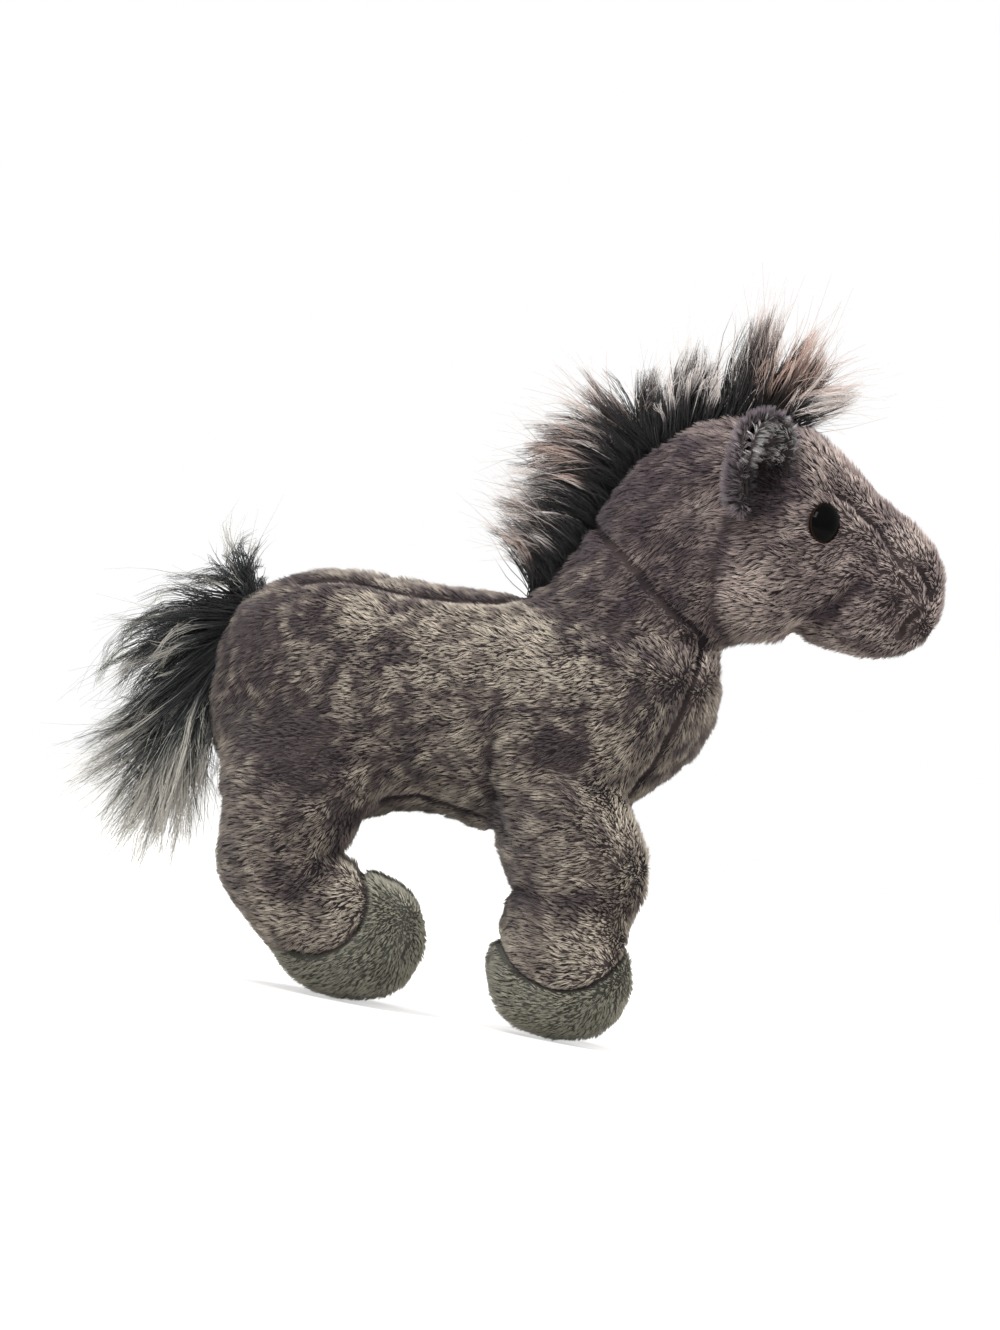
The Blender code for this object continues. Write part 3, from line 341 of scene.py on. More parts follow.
FORE_ARC = arc(30, 36, 20.5, -180, 0)
HIND_ARC = arc(-45, 28.5, 16.5, -100, 50)
SEAMS = (
    (1.5, 1.0, ((-66, 120), (-58, 122.2), (-50, 123.3), (-35, 122.5), (-20, 123.3), (-8, 125), (2, 129))),
    (0.9, 1.0, ((-30, 61.5), (-20, 64.6), (-10, 63.2), (-3, 62.5), (1, 61.5))),
    (2.8, 1.25, ((55, 126), (55, 117), (54, 110), (51, 98), (48, 88), (44, 80), (42, 76))),
    (2.2, 1.1, ((12, 158), (20, 151), (27, 146), (33, 142), (38, 137), (44, 133), (50, 130), (56, 126))),
    (1.8, 2.6, ((0, 92), (0, 83), (1, 75), (3, 66), (6, 58))),
    (1.3, 3.0, ((-60, 63), (-52, 61), (-45, 60), (-38, 55))),
    (1.0, 1.3, ((87, 175.2), (90, 174.4), (92, 173.2))),
    (2.6, 1.3, ((93.5, 172.2), (96, 170.4), (99, 169.4))),
    (1.8, 1.0, ((99, 169.4), (101, 167.4), (104, 164), (107, 160.6), (109.5, 158.2))),
    (2.6, 1.2, ((110, 155.2), (113, 153), (115, 151.6))),
    (2.8, 1.3, ((114.5, 158.8), (117, 156), (119, 153), (119.9, 150.4))),
    (2.2, 1.2, ((110.6, 150), (111, 146))),
    (2.6, 1.25, ((117, 145.6), (115, 144), (113.4, 141), (113.4, 138.8))),
    (1.4, 2.4, ((57, 160), (55.5, 152), (56, 145), (57, 138), (59, 131))),
    (1.9, 2.6, ((82, 132.6), (84, 134.6), (88, 138), (92, 141.6), (95, 146), (98, 151))),
    (1.9, 1.0, FORE_ARC),
    (1.9, 1.0, HIND_ARC),
    (1.8, 2.2, ((8, 43), (14, 41.5), (22, 40.5))),
    (2.2, 2.2, ((-33, 42.5), (-38, 43.5), (-43, 42))),
)
# A valley that reaches less far than this is sewn, and a wider one is a fold
SEWN_REACH = 2.1


def spread(line, step=0.5):
    """Evenly spaced points along a line of the side outline, as places in the frame."""
    dots = []
    for a, b in zip(line, line[1:]):
        a, b = at(*a), at(*b)
        count = max(1, round((b - a).length / (step * MM)))
        dots += [a.lerp(b, k / count) for k in range(count + 1)]
    return dots


def seam_net(sewn):
    """A search tree over the sewn seams or the folds in the side view, with depths and reaches."""
    places, facts = [], []
    for depth, reach, line in SEAMS:
        if (reach < SEWN_REACH) == sewn:
            places += spread(line)
            facts += [(depth * MM, reach * MM)] * (len(places) - len(facts))
    return search_tree(places), np.array(facts)


SEWN, FOLDS = seam_net(True), seam_net(False)


def seam_depth(points, wider=1.0, nets=(SEWN, FOLDS)):
    """How deep the nearest valley is at each point, and how close it is from 0 to 1."""
    depth, close = np.zeros(len(points)), np.zeros(len(points))
    flat = points * (1, 0, 1)
    for nest, facts in nets:
        found = [nest.find(p)[1:] for p in flat.tolist()]
        index, near = np.array([f[0] for f in found]), np.array([f[1] for f in found])
        deep, reach = facts[index].T
        bell = np.exp(-(near / (reach * wider)) ** 2)
        depth, close = np.maximum(depth, deep * bell), np.maximum(close, bell)
    return depth, close


# %% [markdown]
# ## Stuffing it
# Fibre filling presses the panels out while the seams hold them in. Cloth with pressure
# does the same: the seams are pinned, the panels swell, and no point may move more than
# the cap. Then the net is made finer, and the seams are pressed in.

# %% Swell the panels between the seams
PRESSURE = 200
SWELL_FRAMES = 20
CAP = 1.6 * MM
PINNED, PIN_REACH = 0.4, 1.6
SOLE = 1.3 * MM
rest = points_of(body.data)
held = np.where(rest[:, 2] < SOLE, 1.0, seam_depth(rest, PIN_REACH)[1])
group = body.vertex_groups.new(name="seams")
for index in np.nonzero(held > PINNED)[0]:
    group.add([int(index)], float(held[index]), "REPLACE")
only(body)
cloth = body.modifiers.new("Cloth", "CLOTH")
cloth.settings.use_pressure = True
cloth.settings.uniform_pressure_force = PRESSURE
cloth.settings.effector_weights.gravity = 0
cloth.settings.vertex_group_mass = "seams"
for frame_number in range(1, SWELL_FRAMES + 1):
    bpy.context.scene.frame_set(frame_number)
bpy.ops.object.modifier_apply(modifier="Cloth")
move = points_of(body.data) - rest
far = np.linalg.norm(move, axis=1, keepdims=True)
reshape(body, rest + move * np.minimum(1, CAP / np.maximum(far, 1e-9)))
bpy.context.scene.frame_set(1)
print("swollen by up to", round(float(far.max()) / MM, 1), "mm, capped at", CAP / MM)
apply(body, "SUBSURF", levels=1, render_levels=1)
apply(body, "REMESH", mode="VOXEL", voxel_size=FINE)
apply(body, "SMOOTH", factor=SOFTEN, iterations=4)

# %% Press the seams in
LOWEST = 0.9 * MM
skin = points_of(body.data)
skin = skin - points_of(body.data, "normal") * seam_depth(skin)[0][:, None]
skin[:, 2] = np.maximum(skin[:, 2], LOWEST)
reshape(body, skin)
apply(body, "SMOOTH", factor=SOFTEN, iterations=1)
body.vertex_groups.clear()
print("fine skin", len(body.data.vertices), "vertices")

# %% [markdown]
# ## Cutting the skin where it bends
# The frame has bodies for trunk, neck, head and each leg, joined by hinges. The skin is
# cut by planes just where these meet, and every cut is closed. The hoof is a cup of
# another plush: its rim is an arc seen from the side, so it is cut with a solid whose
# outline has that arc.

# %% Cut planes and the hoof outlines


def plane(a, b, flip=1):
    """A plane through two points of the side outline and its unit normal."""
    a, b = at(*a), at(*b)
    along = (b - a).normalized()
    return a, Vector((-along.z, 0, along.x)) * flip


NECK_CUT = plane((3, 131), (62, 113))
# The head's cut is the seam behind the cheeks, where the frame has its hinge
HEAD_CUT = (Vector((0.053739, 0, 0.158529)), Vector((0.934442, 0, 0.356116)))
WAIST, MIDDLE = at(-2, 0), Vector((0, 0, 0))
# Each end's cut, the outline above its hoof, its way forward, and where the bend starts and ends
ENDS = (
    ("fore", plane((3, 57), (45, 72), -1), FORE_ARC + [(75, 100), (-30, 100)], 1, (3, 21)),
    ("hind", plane((-82, 66), (-36, 58.5), -1),
     HIND_ARC + [(-32.2, 50), (-1, 50), (-1, 100), (-100, 100), (-100, 8)], -1, (1, 16)),
)
CUFF_WIDE = 120
RIM_SHARP = math.radians(50)


def cut_at(piece, place, normal):
    """Cut a piece by a plane, drop what lies on the normal's side and close the cut."""
    with editing(piece):
        bpy.ops.mesh.bisect(plane_co=place, plane_no=normal, use_fill=True, clear_outer=True)
        bpy.ops.mesh.select_all(action="SELECT")
        bpy.ops.mesh.quads_convert_to_tris()
    return piece


def cuff(outline):
    """A solid with this side outline, from a circle whose points are moved and extruded."""
    solid = begin("cuff", bpy.ops.mesh.primitive_circle_add, vertices=len(outline), fill_type="NGON")
    reshape(solid, np.array([tuple(at(x, z, -CUFF_WIDE / 2)) for x, z in outline]))
    with editing(solid):
        bpy.ops.mesh.extrude_region_move(TRANSFORM_OT_translate={"value": (0, CUFF_WIDE * MM, 0)})
        bpy.ops.mesh.select_all(action="SELECT")
        bpy.ops.mesh.normals_make_consistent(inside=False)
    return solid


# %% Trunk, neck and head pieces
torso = copy_of(body, "torso_skin")
for place, normal in (ENDS[0][1], ENDS[1][1], NECK_CUT):
    cut_at(torso, place, normal)
neck = cut_at(cut_at(copy_of(body, "neck_skin"), NECK_CUT[0], -NECK_CUT[1]), *HEAD_CUT)
head = cut_at(cut_at(copy_of(body, "head_skin"), NECK_CUT[0], -NECK_CUT[1]), HEAD_CUT[0], -HEAD_CUT[1])
skins = {"torso": torso, "neck": neck, "head": head}

# %% Leg and hoof pieces
for end, cut, outline, forward, _ in ENDS:
    cutter = cuff(outline)
    pair = cut_at(copy_of(body, end), cut[0], -cut[1])
    cut_at(pair, WAIST, Vector((-forward, 0, 0)))
    for side, sign in SIDES:
        whole = cut_at(copy_of(pair, "whole"), MIDDLE, Vector((0, -sign, 0)))
        for kind, name in (("INTERSECT", "leg"), ("DIFFERENCE", "hoof")):
            piece = copy_of(whole, f"{name}_{end}_{side}_skin")
            apply(piece, "BOOLEAN", operation=kind, solver="EXACT", object=cutter)
            skins[f"{name}_{end}_{side}"] = piece
        bpy.data.objects.remove(whole)
    bpy.data.objects.remove(pair)
    bpy.data.objects.remove(cutter)
for name, piece in skins.items():
    only(piece)
    bpy.ops.object.shade_smooth_by_angle(angle=RIM_SHARP)
    print(name, len(piece.data.vertices), "vertices")


# %% Which piece a point of the skin belongs to


def inside(points, outline):
    """Whether each point lies inside a side outline, seen along the width."""
    corners = np.array([tuple(at(*p)) for p in outline])[:, (0, 2)]
    x, z = points[:, 0], points[:, 2]
    within = np.zeros(len(points), bool)
    for (ax, az), (bx, bz) in zip(corners, np.roll(corners, -1, axis=0)):
        crosses = (az > z) != (bz > z)
        where = ax + (z - az) * (bx - ax) / np.where(bz == az, 1e-12, bz - az)
        within ^= crosses & (x < where)
    return within


def beyond(points, cut):
    """Whether each point is on the side of a cut that its normal points to."""
    return (points - np.array(cut[0])) @ np.array(cut[1]) > 0


def regions(points):
    """The piece name of every point of the skin."""
    side = np.where(points[:, 1] > 0, "left", "right").astype(object)
    names = np.full(len(points), "torso", object)
    above = beyond(points, NECK_CUT)
    names[above] = "neck"
    names[above & beyond(points, HEAD_CUT)] = "head"
    for end, cut, outline, forward, _ in ENDS:
        low = beyond(points, cut) & ((points[:, 0] > WAIST.x) == (forward > 0))
        leg = inside(points, outline)
        names[low & leg] = f"leg_{end}_" + side[low & leg]
        names[low & ~leg] = f"hoof_{end}_" + side[low & ~leg]
    return names


# %% [markdown]
# ## Colour and light on pile
# Plush has short fibres standing in a knitted ground. The eye sees pale tips and dark gaps,
# with the print as soft blotches below that. Each fibre gets painted shade towards its foot, and
# its tip takes the print at its own foot, which keeps the blotches still when a leg swings.

# %% Colours and one function that adds a node


def paint(code, light=1.0):
    """An sRGB hex colour as linear light, brighter by a factor."""
    parts = [int(code[k:k + 2], 16) / 255 for k in (0, 2, 4)]
    parts = [v / 12.92 if v <= 0.04045 else ((v + 0.055) / 1.055) ** 2.4 for v in parts]
    return [min(1, v * light) for v in parts] + [1]


def grey(light):
    """A grey of linear light."""
    return [light] * 3 + [1]


def add(tree, kind, inputs=(), stops=(), **settings):
    """Add a node with its settings, its inputs as values or links, and a ramp's stops. Gives its outputs."""
    fresh = tree.nodes.new("ShaderNode" + kind)
    for key, value in settings.items():
        setattr(fresh, key, value)
    for key, value in inputs.items() if isinstance(inputs, dict) else enumerate(inputs):
        if isinstance(value, bpy.types.NodeSocket):
            tree.links.new(value, fresh.inputs[key])
        else:
            fresh.inputs[key].default_value = value
    while len(stops) > 2 and len(fresh.color_ramp.elements) < len(stops):
        fresh.color_ramp.elements.new(0.5)
    for k, (place, colour) in enumerate(stops):
        fresh.color_ramp.elements[k].position = place
        fresh.color_ramp.elements[k].color = colour
    return fresh.outputs


def material(name, **socket_values):
    """A new material with its main shader's sockets set, its tree and that shader."""
    new = bpy.data.materials.new(name)
    new.use_nodes = True
    tree = new.node_tree
    shader = tree.nodes["Principled BSDF"]
    for key, value in socket_values.items():
        shader.inputs[key.replace("_", " ")].default_value = value
    return new, tree, shader


# %% Plush: polyester pile, knitted, printed and steamed
# The print's blotches and its fine mottling, in millimetres, and the share of each
BLOTCH, MOTTLE = 12.0, 3.6
BLOTCH_SHARE, MOTTLE_SHARE = 0.62, 0.55
# Where the two mixed noises have their middle, and how far from it the print is darkest or palest
PRINT_MIDDLE, PRINT_REACH = 0.585, 0.11


def plush(name, dark, base, pale, foot, blotch=BLOTCH, contrast=1.0):
    """Pile whose print is drawn by noise at each fibre's foot, with painted shade darkening each fibre
    towards its foot: dull, soft, slightly sheeny.
    """
    new, tree, shader = material(name, Roughness=0.9, Sheen_Weight=0.12, Sheen_Roughness=0.5,
                                 Specular_IOR_Level=0.2)
    place = add(tree, "Attribute", attribute_name="place")["Vector"]
    tuft = add(tree, "Attribute", attribute_name="tuft")
    up, own, shift = add(tree, "SeparateColor", [tuft["Color"]])
    large = add(tree, "TexNoise", {"Vector": place, "Scale": 1000 / blotch, "Detail": 2.0, "Roughness": 0.6,
                                   "Distortion": 0.4})[0]
    small = add(tree, "TexNoise", {"Vector": place, "Scale": 1000 / MOTTLE, "Detail": 1.0,
                                   "Distortion": 0.3})[0]
    mixed = add(tree, "Math", (large, BLOTCH_SHARE, -PRINT_MIDDLE), operation="MULTIPLY_ADD")[0]
    mixed = add(tree, "Math", (small, MOTTLE_SHARE, mixed), operation="MULTIPLY_ADD")[0]
    shift = add(tree, "Math", (shift, 0.7, 0.15), operation="MULTIPLY_ADD")[0]
    mixed = add(tree, "Math", (mixed, tuft["Alpha"], shift), operation="MULTIPLY_ADD")[0]
    reach = PRINT_REACH / contrast
    shade = add(tree, "ValToRGB", [mixed],
                ((0.5 - reach, paint(dark)), (0.5, paint(base)), (0.5 + reach, paint(pale))))[0]
    height = add(tree, "VectorMath", (place, (0.4, 0, 1)), operation="DOT_PRODUCT")["Value"]
    # Layers: painted shade towards each fibre's foot, for the gaps; each tuft's own tone, lowered near seams
    # and folds as painted shade; a mauve tint higher up
    for factor, stops in (
        (up, ((0.05, grey(foot)), (0.85, grey(1)))),
        (own, ((0.0, grey(0.36)), (0.3, grey(0.88)), (1.0, grey(1.34)))),
        (height, ((0.125, grey(1)), (0.165, [1.0, 0.94, 1.03, 1]))),
    ):
        layer = add(tree, "ValToRGB", [factor], stops)[0]
        shade = add(tree, "Mix", {0: 1.0, 6: shade, 7: layer}, data_type="RGBA", blend_type="MULTIPLY")[2]
    tree.links.new(shade, shader.inputs["Base Color"])
    return new


# The last number is the painted shade at a fibre's foot, as a share of the light at its tip
printed_plush = plush("printed_polyester_plush_knitted", "726668", "b4a79c", "ece0cf", 0.26)
hoof_plush = plush("grey_green_polyester_plush_knitted", "aaa797", "b9b5a5", "cac5b4", 0.42, 8.0, 0.6)
ear_plush = plush("lavender_grey_plush_knitted", "665f61", "827a7b", "a19998", 0.22, 8.0, 0.7)
# The lining's dark colour shows mostly where painted shade lowers its tone low in the ear
lining_plush = plush("curled_grey_plush_knitted", "4c4142", "bfc2b9", "e2e4db", 0.14, 5.0, 0.55)

# %% Knitted ground under the pile
LOOP, LOOP_DEEP = 1.2, 0.3 * MM


def ground(name, dark, base):
    """The knit between the fibres: a matt net of loops, seen only in the gaps and coloured dark as painted
    shade for them.
    """
    new, tree, shader = material(name, Roughness=0.95, Specular_IOR_Level=0.1)
    place = add(tree, "TexCoord")["Object"]
    loops = add(tree, "TexVoronoi", {"Vector": place, "Scale": 1000 / LOOP})[0]
    blotches = add(tree, "TexNoise", {"Vector": place, "Scale": 1000 / BLOTCH, "Detail": 2.0})[0]
    colour = add(tree, "ValToRGB", [blotches], ((0.42, paint(dark)), (0.58, paint(base))))[0]
    tree.links.new(colour, shader.inputs["Base Color"])
    bump = add(tree, "Bump", {"Height": loops, "Strength": 0.4, "Distance": LOOP_DEEP})[0]
    tree.links.new(bump, shader.inputs["Normal"])
    return new


# Painted shade: the ground is far darker than the pile, for the gaps between fibres; its blotches follow the
# print
printed_shaded_ground = ground("printed_knit_ground", "2c2628", "423a39")
hoof_shaded_ground = ground("grey_green_knit_ground", "3c3c36", "50504a")

# %% [markdown]
# ## Laying the pile
# The fibres are drawn coarser than life, 0.3 mm instead of 0.05 mm, because thinner ones
# would not show. Each is a closed sliver of four faces. Feet are strewn over the skin by
# area. The tips lean the way the pile was combed and close up in tufts.

# %% Which way the pile lies, read at points of the side
COMBED = (
    (35, 150, -0.6, -0.8), (45, 170, -0.5, -0.85), (60, 151, -1, 0.1), (66, 139, -0.7, 0.7),
    (75, 134, -0.6, 0.8), (75, 150, -1, 0.1), (75, 172, -0.9, -0.35), (88, 180, -1, -0.2),
    (95, 162, -0.85, -0.45), (88, 152, -1, -0.1), (106, 142, -0.4, -0.9), (110, 166, -1, 0.1),
    (119, 148, -0.4, 0.9), (100, 132, -1, -0.1), (20, 112, -0.75, -0.65), (-20, 108, -0.75, -0.65),
    (-55, 105, -0.7, -0.7), (-20, 82, -1, -0.12), (20, 82, -1, -0.15), (-55, 78, -1, -0.2),
    (-80, 95, -0.3, -0.9), (-60, 60, -1, -0.05), (-60, 35, -0.95, -0.3), (30, 60, -1, 0.0),
    (30, 35, -1, 0.15), (-38, 28, -0.85, -0.5), (-25, 12, -0.6, -0.7), (25, 10, -0.7, 0.5),
    (45, 10, -0.6, -0.7), (0, 128, -0.9, -0.3), (57, 100, -0.3, -0.9),
)
# Whether the print is dark, below 0.5, or pale, above it, and how strongly it is mottled
TONES = (
    (-15, 115, 0.66, 1.15), (10, 112, 0.66, 1.15), (-45, 118, 0.6, 1.15), (-76, 100, 0.3, 1.1),
    (-60, 80, 0.44, 1.1), (-30, 85, 0.49, 1.1), (5, 85, 0.5, 1.1), (30, 90, 0.52, 1.1),
    (58, 105, 0.48, 0.7), (35, 110, 0.52, 1.0), (15, 150, 0.32, 0.6), (30, 165, 0.35, 0.5),
    (45, 150, 0.43, 0.5), (30, 135, 0.39, 0.7), (70, 145, 0.58, 0.5), (60, 165, 0.48, 0.5),
    (85, 180, 0.57, 0.5), (85, 160, 0.53, 0.4), (100, 165, 0.54, 0.6), (112, 150, 0.55, 0.6),
    (100, 138, 0.52, 0.6), (-60, 50, 0.5, 0.65), (-60, 25, 0.52, 0.65), (-35, 30, 0.56, 0.65),
    (20, 60, 0.5, 0.65), (50, 60, 0.55, 0.65), (30, 35, 0.49, 0.6), (38, 22, 0.58, 0.6),
    (-30, 58, 0.44, 0.7), (-60, 129, 0.42, 0.8), (-45, 130, 0.42, 0.8), (-30, 130, 0.42, 0.8),
    (-15, 131, 0.42, 0.8), (0, 133, 0.42, 0.8),
)
# Dapples of the print, and two painted shadows: place, size in millimetres, and how dark (below zero) or pale
DAPPLES_AND_SHADOWS = (
    (-72, 77, 7, -0.16), (-55, 72, 10, -0.42), (-62, 86, 6, -0.12), (-35, 107, 5, -0.14),
    (-32, 86, 7, -0.16), (13, 96, 5, -0.14), (22, 86, 8, -0.38), (-5, 95, 5, -0.1), (8, 66, 6, -0.14),
    (40, 105, 5, -0.12), (-18, 116, 4, -0.14), (-75, 105, 6, -0.1), (-52, 33, 8, -0.12), (-65, 60, 7, -0.1),
    (20, 42, 8, -0.1), (57, 95, 9, -0.08), (-60, 118, 4, -0.1), (12, 124, 6, -0.1), (30, 120, 6, -0.08),
    (-47, 114, 7, 0.16), (0, 115, 10, 0.14), (20, 111, 8, 0.14), (-60, 97, 5, 0.12), (40, 74, 8, 0.14),
    (50, 55, 6, 0.14), (38, 25, 9, 0.2), (-31, 30, 7, 0.18), (33, 92, 6, 0.08), (15, 24, 5, 0.12),
    # Painted shadows: (94, 142) where the muzzle tucks under the cheek, and (66, 174) in the hollow before
    # the ear's root; the rest is print
    (66, 142, 8, 0.14), (85, 136.5, 3, 0.24), (94, 142, 4, -0.2), (66, 174, 8, -0.4), (112, 166, 6, 0.12),
    (76, 184, 6, 0.08), (-25, 100, 5, 0.1), (-45, 92, 4, 0.1),
)


def blend_table(points, table, power=2.0):
    """Values at points of the side, weighted by nearness to a table's points."""
    total = np.zeros((len(points), len(table[0]) - 2))
    weights = np.zeros(len(points))
    for x, z, *values in table:
        place = at(x, z)
        gap = np.hypot(points[:, 0] - place.x, points[:, 2] - place.z) / MM + 3
        weight = gap ** -power / len(table)
        total += weight[:, None] * np.array(values)
        weights += weight
    return total / weights[:, None]


# The noise's net, a shift that keeps its cells above zero, and how much it is raised towards 1
NET, NET_SHIFT, LOUDER = 32, 400, 1.6


def drift(points, size, seed):
    """Soft noise from -1 to 1 with features of this many millimetres."""
    net = np.random.default_rng(seed).uniform(-1, 1, (NET,) * 3)
    place = points / (size * MM) + NET_SHIFT
    cell = np.floor(place).astype(int)
    part = place - cell
    part = part * part * (3 - 2 * part)
    total = np.zeros(len(points))
    for corner in range(8):
        step = np.array([corner & 1, corner >> 1 & 1, corner >> 2 & 1])
        weight = np.prod(np.where(step, part, 1 - part), axis=1)
        x, y, z = ((cell + step) % NET).T
        total += weight * net[x, y, z]
    return total * LOUDER


def unit(rows):
    """Rows scaled to length one."""
    return rows / np.maximum(np.linalg.norm(rows, axis=-1, keepdims=True), 1e-9)


# How far the edges of the dapples and painted shadows wander, and how fine that is, in millimetres
EDGE, EDGE_SIZE = 2.2, 5.0


def dapples_and_shadows(points):
    """How far the dapples and the two painted shadows shift the print at each point; their edges are broken
    by noise.
    """
    x = points[:, 0] / MM - SHIFT + EDGE * drift(points, EDGE_SIZE, 81)
    z = points[:, 2] / MM + EDGE * drift(points, EDGE_SIZE, 82)
    total = np.zeros(len(points))
    for at_x, at_z, size, shift in DAPPLES_AND_SHADOWS:
        total += shift * np.exp(-(((x - at_x) ** 2 + (z - at_z) ** 2) / size ** 2) ** 1.5)
    return total


# %% Strewing feet over a mesh


def strew(piece, per_mm2, seed):
    """Random feet on a mesh by area, with its normal at each."""
    mesh = piece.data
    mesh.calc_loop_triangles()
    corners = np.empty(len(mesh.loop_triangles) * 3, dtype=np.int32)
    mesh.loop_triangles.foreach_get("vertices", corners)
    corners = corners.reshape(-1, 3)
    places, normals = points_of(mesh), points_of(mesh, "normal")
    a, b, c = (places[corners[:, k]] for k in range(3))
    areas = np.linalg.norm(np.cross(b - a, c - a), axis=1) / 2
    dice = np.random.default_rng(seed)
    count = int(areas.sum() / MM ** 2 * per_mm2)
    pick = dice.choice(len(areas), count, p=areas / areas.sum())
    u, v = dice.random(count), dice.random(count)
    fold = u + v > 1
    u[fold], v[fold] = 1 - u[fold], 1 - v[fold]
    share = np.stack([1 - u - v, u, v])[:, :, None]
    feet = sum(share[k] * places[corners[pick, k]] for k in range(3))
    up = unit(sum(share[k] * normals[corners[pick, k]] for k in range(3)))
    return feet, up


# %% Building fibres as one mesh
SLIVER_FACES = ((0, 1, 3), (1, 2, 3), (2, 0, 3), (0, 2, 1))
SLIVER_LAYOUT = 0.05 + 0.9 * np.array([
    (0.05, 0), (0.35, 0), (0.5, 1), (0.35, 0), (0.65, 0), (0.5, 1), (0.65, 0), (0.95, 0), (0.5, 1),
    (0.05, 0.02), (0.95, 0.02), (0.5, 0.15),
])


def fibre_mesh(name, places, faces, layout, feet, tuft, finish):
    """Fibres of one pattern as one mesh, with the place of their print, their tones and baking map."""
    count, per = places.shape[:2]
    corners = np.arange(count)[:, None] * per + np.concatenate(faces)
    sizes = np.tile([len(face) for face in faces], count)
    mesh = bpy.data.meshes.new(name)
    mesh.vertices.add(count * per)
    mesh.vertices.foreach_set("co", places.ravel())
    mesh.loops.add(corners.size)
    mesh.loops.foreach_set("vertex_index", corners.ravel().astype(np.int32))
    mesh.polygons.add(len(sizes))
    mesh.polygons.foreach_set("loop_start", (np.cumsum(sizes) - sizes).astype(np.int32))
    mesh.update(calc_edges=True)
    mesh.polygons.foreach_set("use_smooth", np.ones(len(sizes), bool))
    mesh.attributes.new("place", "FLOAT_VECTOR", "POINT").data.foreach_set(
        "vector", np.repeat(feet, per, axis=0).ravel())
    mesh.attributes.new("tuft", "FLOAT_COLOR", "POINT").data.foreach_set("color", tuft.ravel())
    side = math.ceil(math.sqrt(count))
    cells = np.stack([np.arange(count) % side, np.arange(count) // side], axis=1)[:, None]
    mesh.uv_layers.new(name="OFBake").data.foreach_set("uv", ((cells + layout) / side).ravel())
    mesh.validate()
    mesh.materials.append(finish)
    piece = bpy.data.objects.new(name, mesh)
    bpy.context.scene.collection.objects.link(piece)
    return piece


def three_sides(middle, wide, along, across, first=0.0):
    """The three corners of a fibre round each place, square to its direction."""
    third = np.cross(along, across)
    turns = [first + k * 2 * math.pi / 3 for k in range(3)]
    return [middle + wide * (np.cos(turn) * across + np.sin(turn) * third) for turn in turns]


def slivers(name, feet, tips, up, wide, tones, finish):
    """Closed four-faced fibres from feet to tips. Tones: a fibre's own, its print and how strong that is."""
    count = len(feet)
    along = unit(tips - feet)
    across = unit(np.cross(along, up) + 1e-6)
    spin = np.random.default_rng(count).uniform(0, 2 * math.pi, count)
    ring = three_sides(feet, np.reshape(wide, (-1, 1)), along, across, spin[:, None])
    tuft = np.ones((count, 4, 4))
    tuft[:, :3, 0] = 0
    tuft[:, :, 1:] = tones[:, None]
    return fibre_mesh(name, np.stack(ring + [tips], axis=1), SLIVER_FACES, SLIVER_LAYOUT, feet, tuft, finish)


# %% Feet, tips and tufts for the whole body
FIBRES_PER_MM2 = 3.8
FIBRE_LONG, HEAD_FIBRE, MUZZLE_SHORTER, HOOF_FIBRE = 3.0, 3.8, 1.4, 2.4
FIBRE_WIDE = 0.16
# How far a tuft draws its fibres, in millimetres, and the skin that one tuft holds
TUFT_REACH = 4
TUFT_AREA = 1.0


def comb(feet, up, long, seed, way=None, tuft_area=TUFT_AREA, pull=0.6, lean=0.9, sway=0.26):
    """Tips for feet: combed over the skin, swayed by noise and drawn together in tufts."""
    dice = np.random.default_rng(seed)
    if way is None:
        way = blend_table(feet, COMBED)
        way = np.stack([way[:, 0], np.zeros(len(feet)), way[:, 1]], axis=1)
    flat = unit(way - up * np.sum(way * up, axis=1, keepdims=True))
    turn = drift(feet, 4.0, seed) * sway + drift(feet, 11.0, seed + 1) * sway * 0.7
    cross = np.cross(up, flat)
    flat = flat * np.cos(turn)[:, None] + cross * np.sin(turn)[:, None]
    slope = np.clip(lean + 0.08 * drift(feet, 3.0, seed + 2)[:, None], 0.3, 0.97)
    way = unit(flat * slope + up * np.sqrt(1 - slope ** 2))
    way = unit(way + dice.normal(0, 0.08, way.shape))
    tips = feet + way * np.reshape(long, (-1, 1))
    heads = dice.choice(len(feet), int(len(feet) / (FIBRES_PER_MM2 * tuft_area)), replace=False)
    nest = search_tree(feet[heads])
    owner = heads[[nest.find(foot)[1] for foot in feet.tolist()]]
    gap = np.linalg.norm(feet - feet[owner], axis=1)
    share = pull * np.clip(1 - gap / (TUFT_REACH * MM), 0, 1)[:, None]
    tips = tips * (1 - share) + tips[owner] * share
    tuft_tone = np.zeros(len(feet))
    tuft_tone[heads] = dice.random(len(heads))
    own = np.clip(0.62 * tuft_tone[owner] + 0.38 * dice.random(len(feet)), 0, 1)
    return tips, own


feet, up = strew(body, FIBRES_PER_MM2, 7)
names = regions(feet)
folds = seam_depth(feet)[1]
line = seam_depth(feet, 0.7, (SEWN,))[1]
muzzle = np.clip((feet[:, 0] / MM - 80) / 30, 0, 1)
long = np.where(names == "head", HEAD_FIBRE - MUZZLE_SHORTER * muzzle, FIBRE_LONG)
long[[name.startswith("hoof") for name in names]] = HOOF_FIBRE
long = long * (1 - 0.6 * line) * (1 + 0.12 * drift(feet, 2.0, 31)) * MM
tips, own = comb(feet, up, long, 11)
tips[:, 2] = np.maximum(tips[:, 2], 0.1 * MM)

# %% Stop the pile at the sewn seams
# Some fibres still close over a seam, as they do on the real one
OVER_SEAM = 0.12
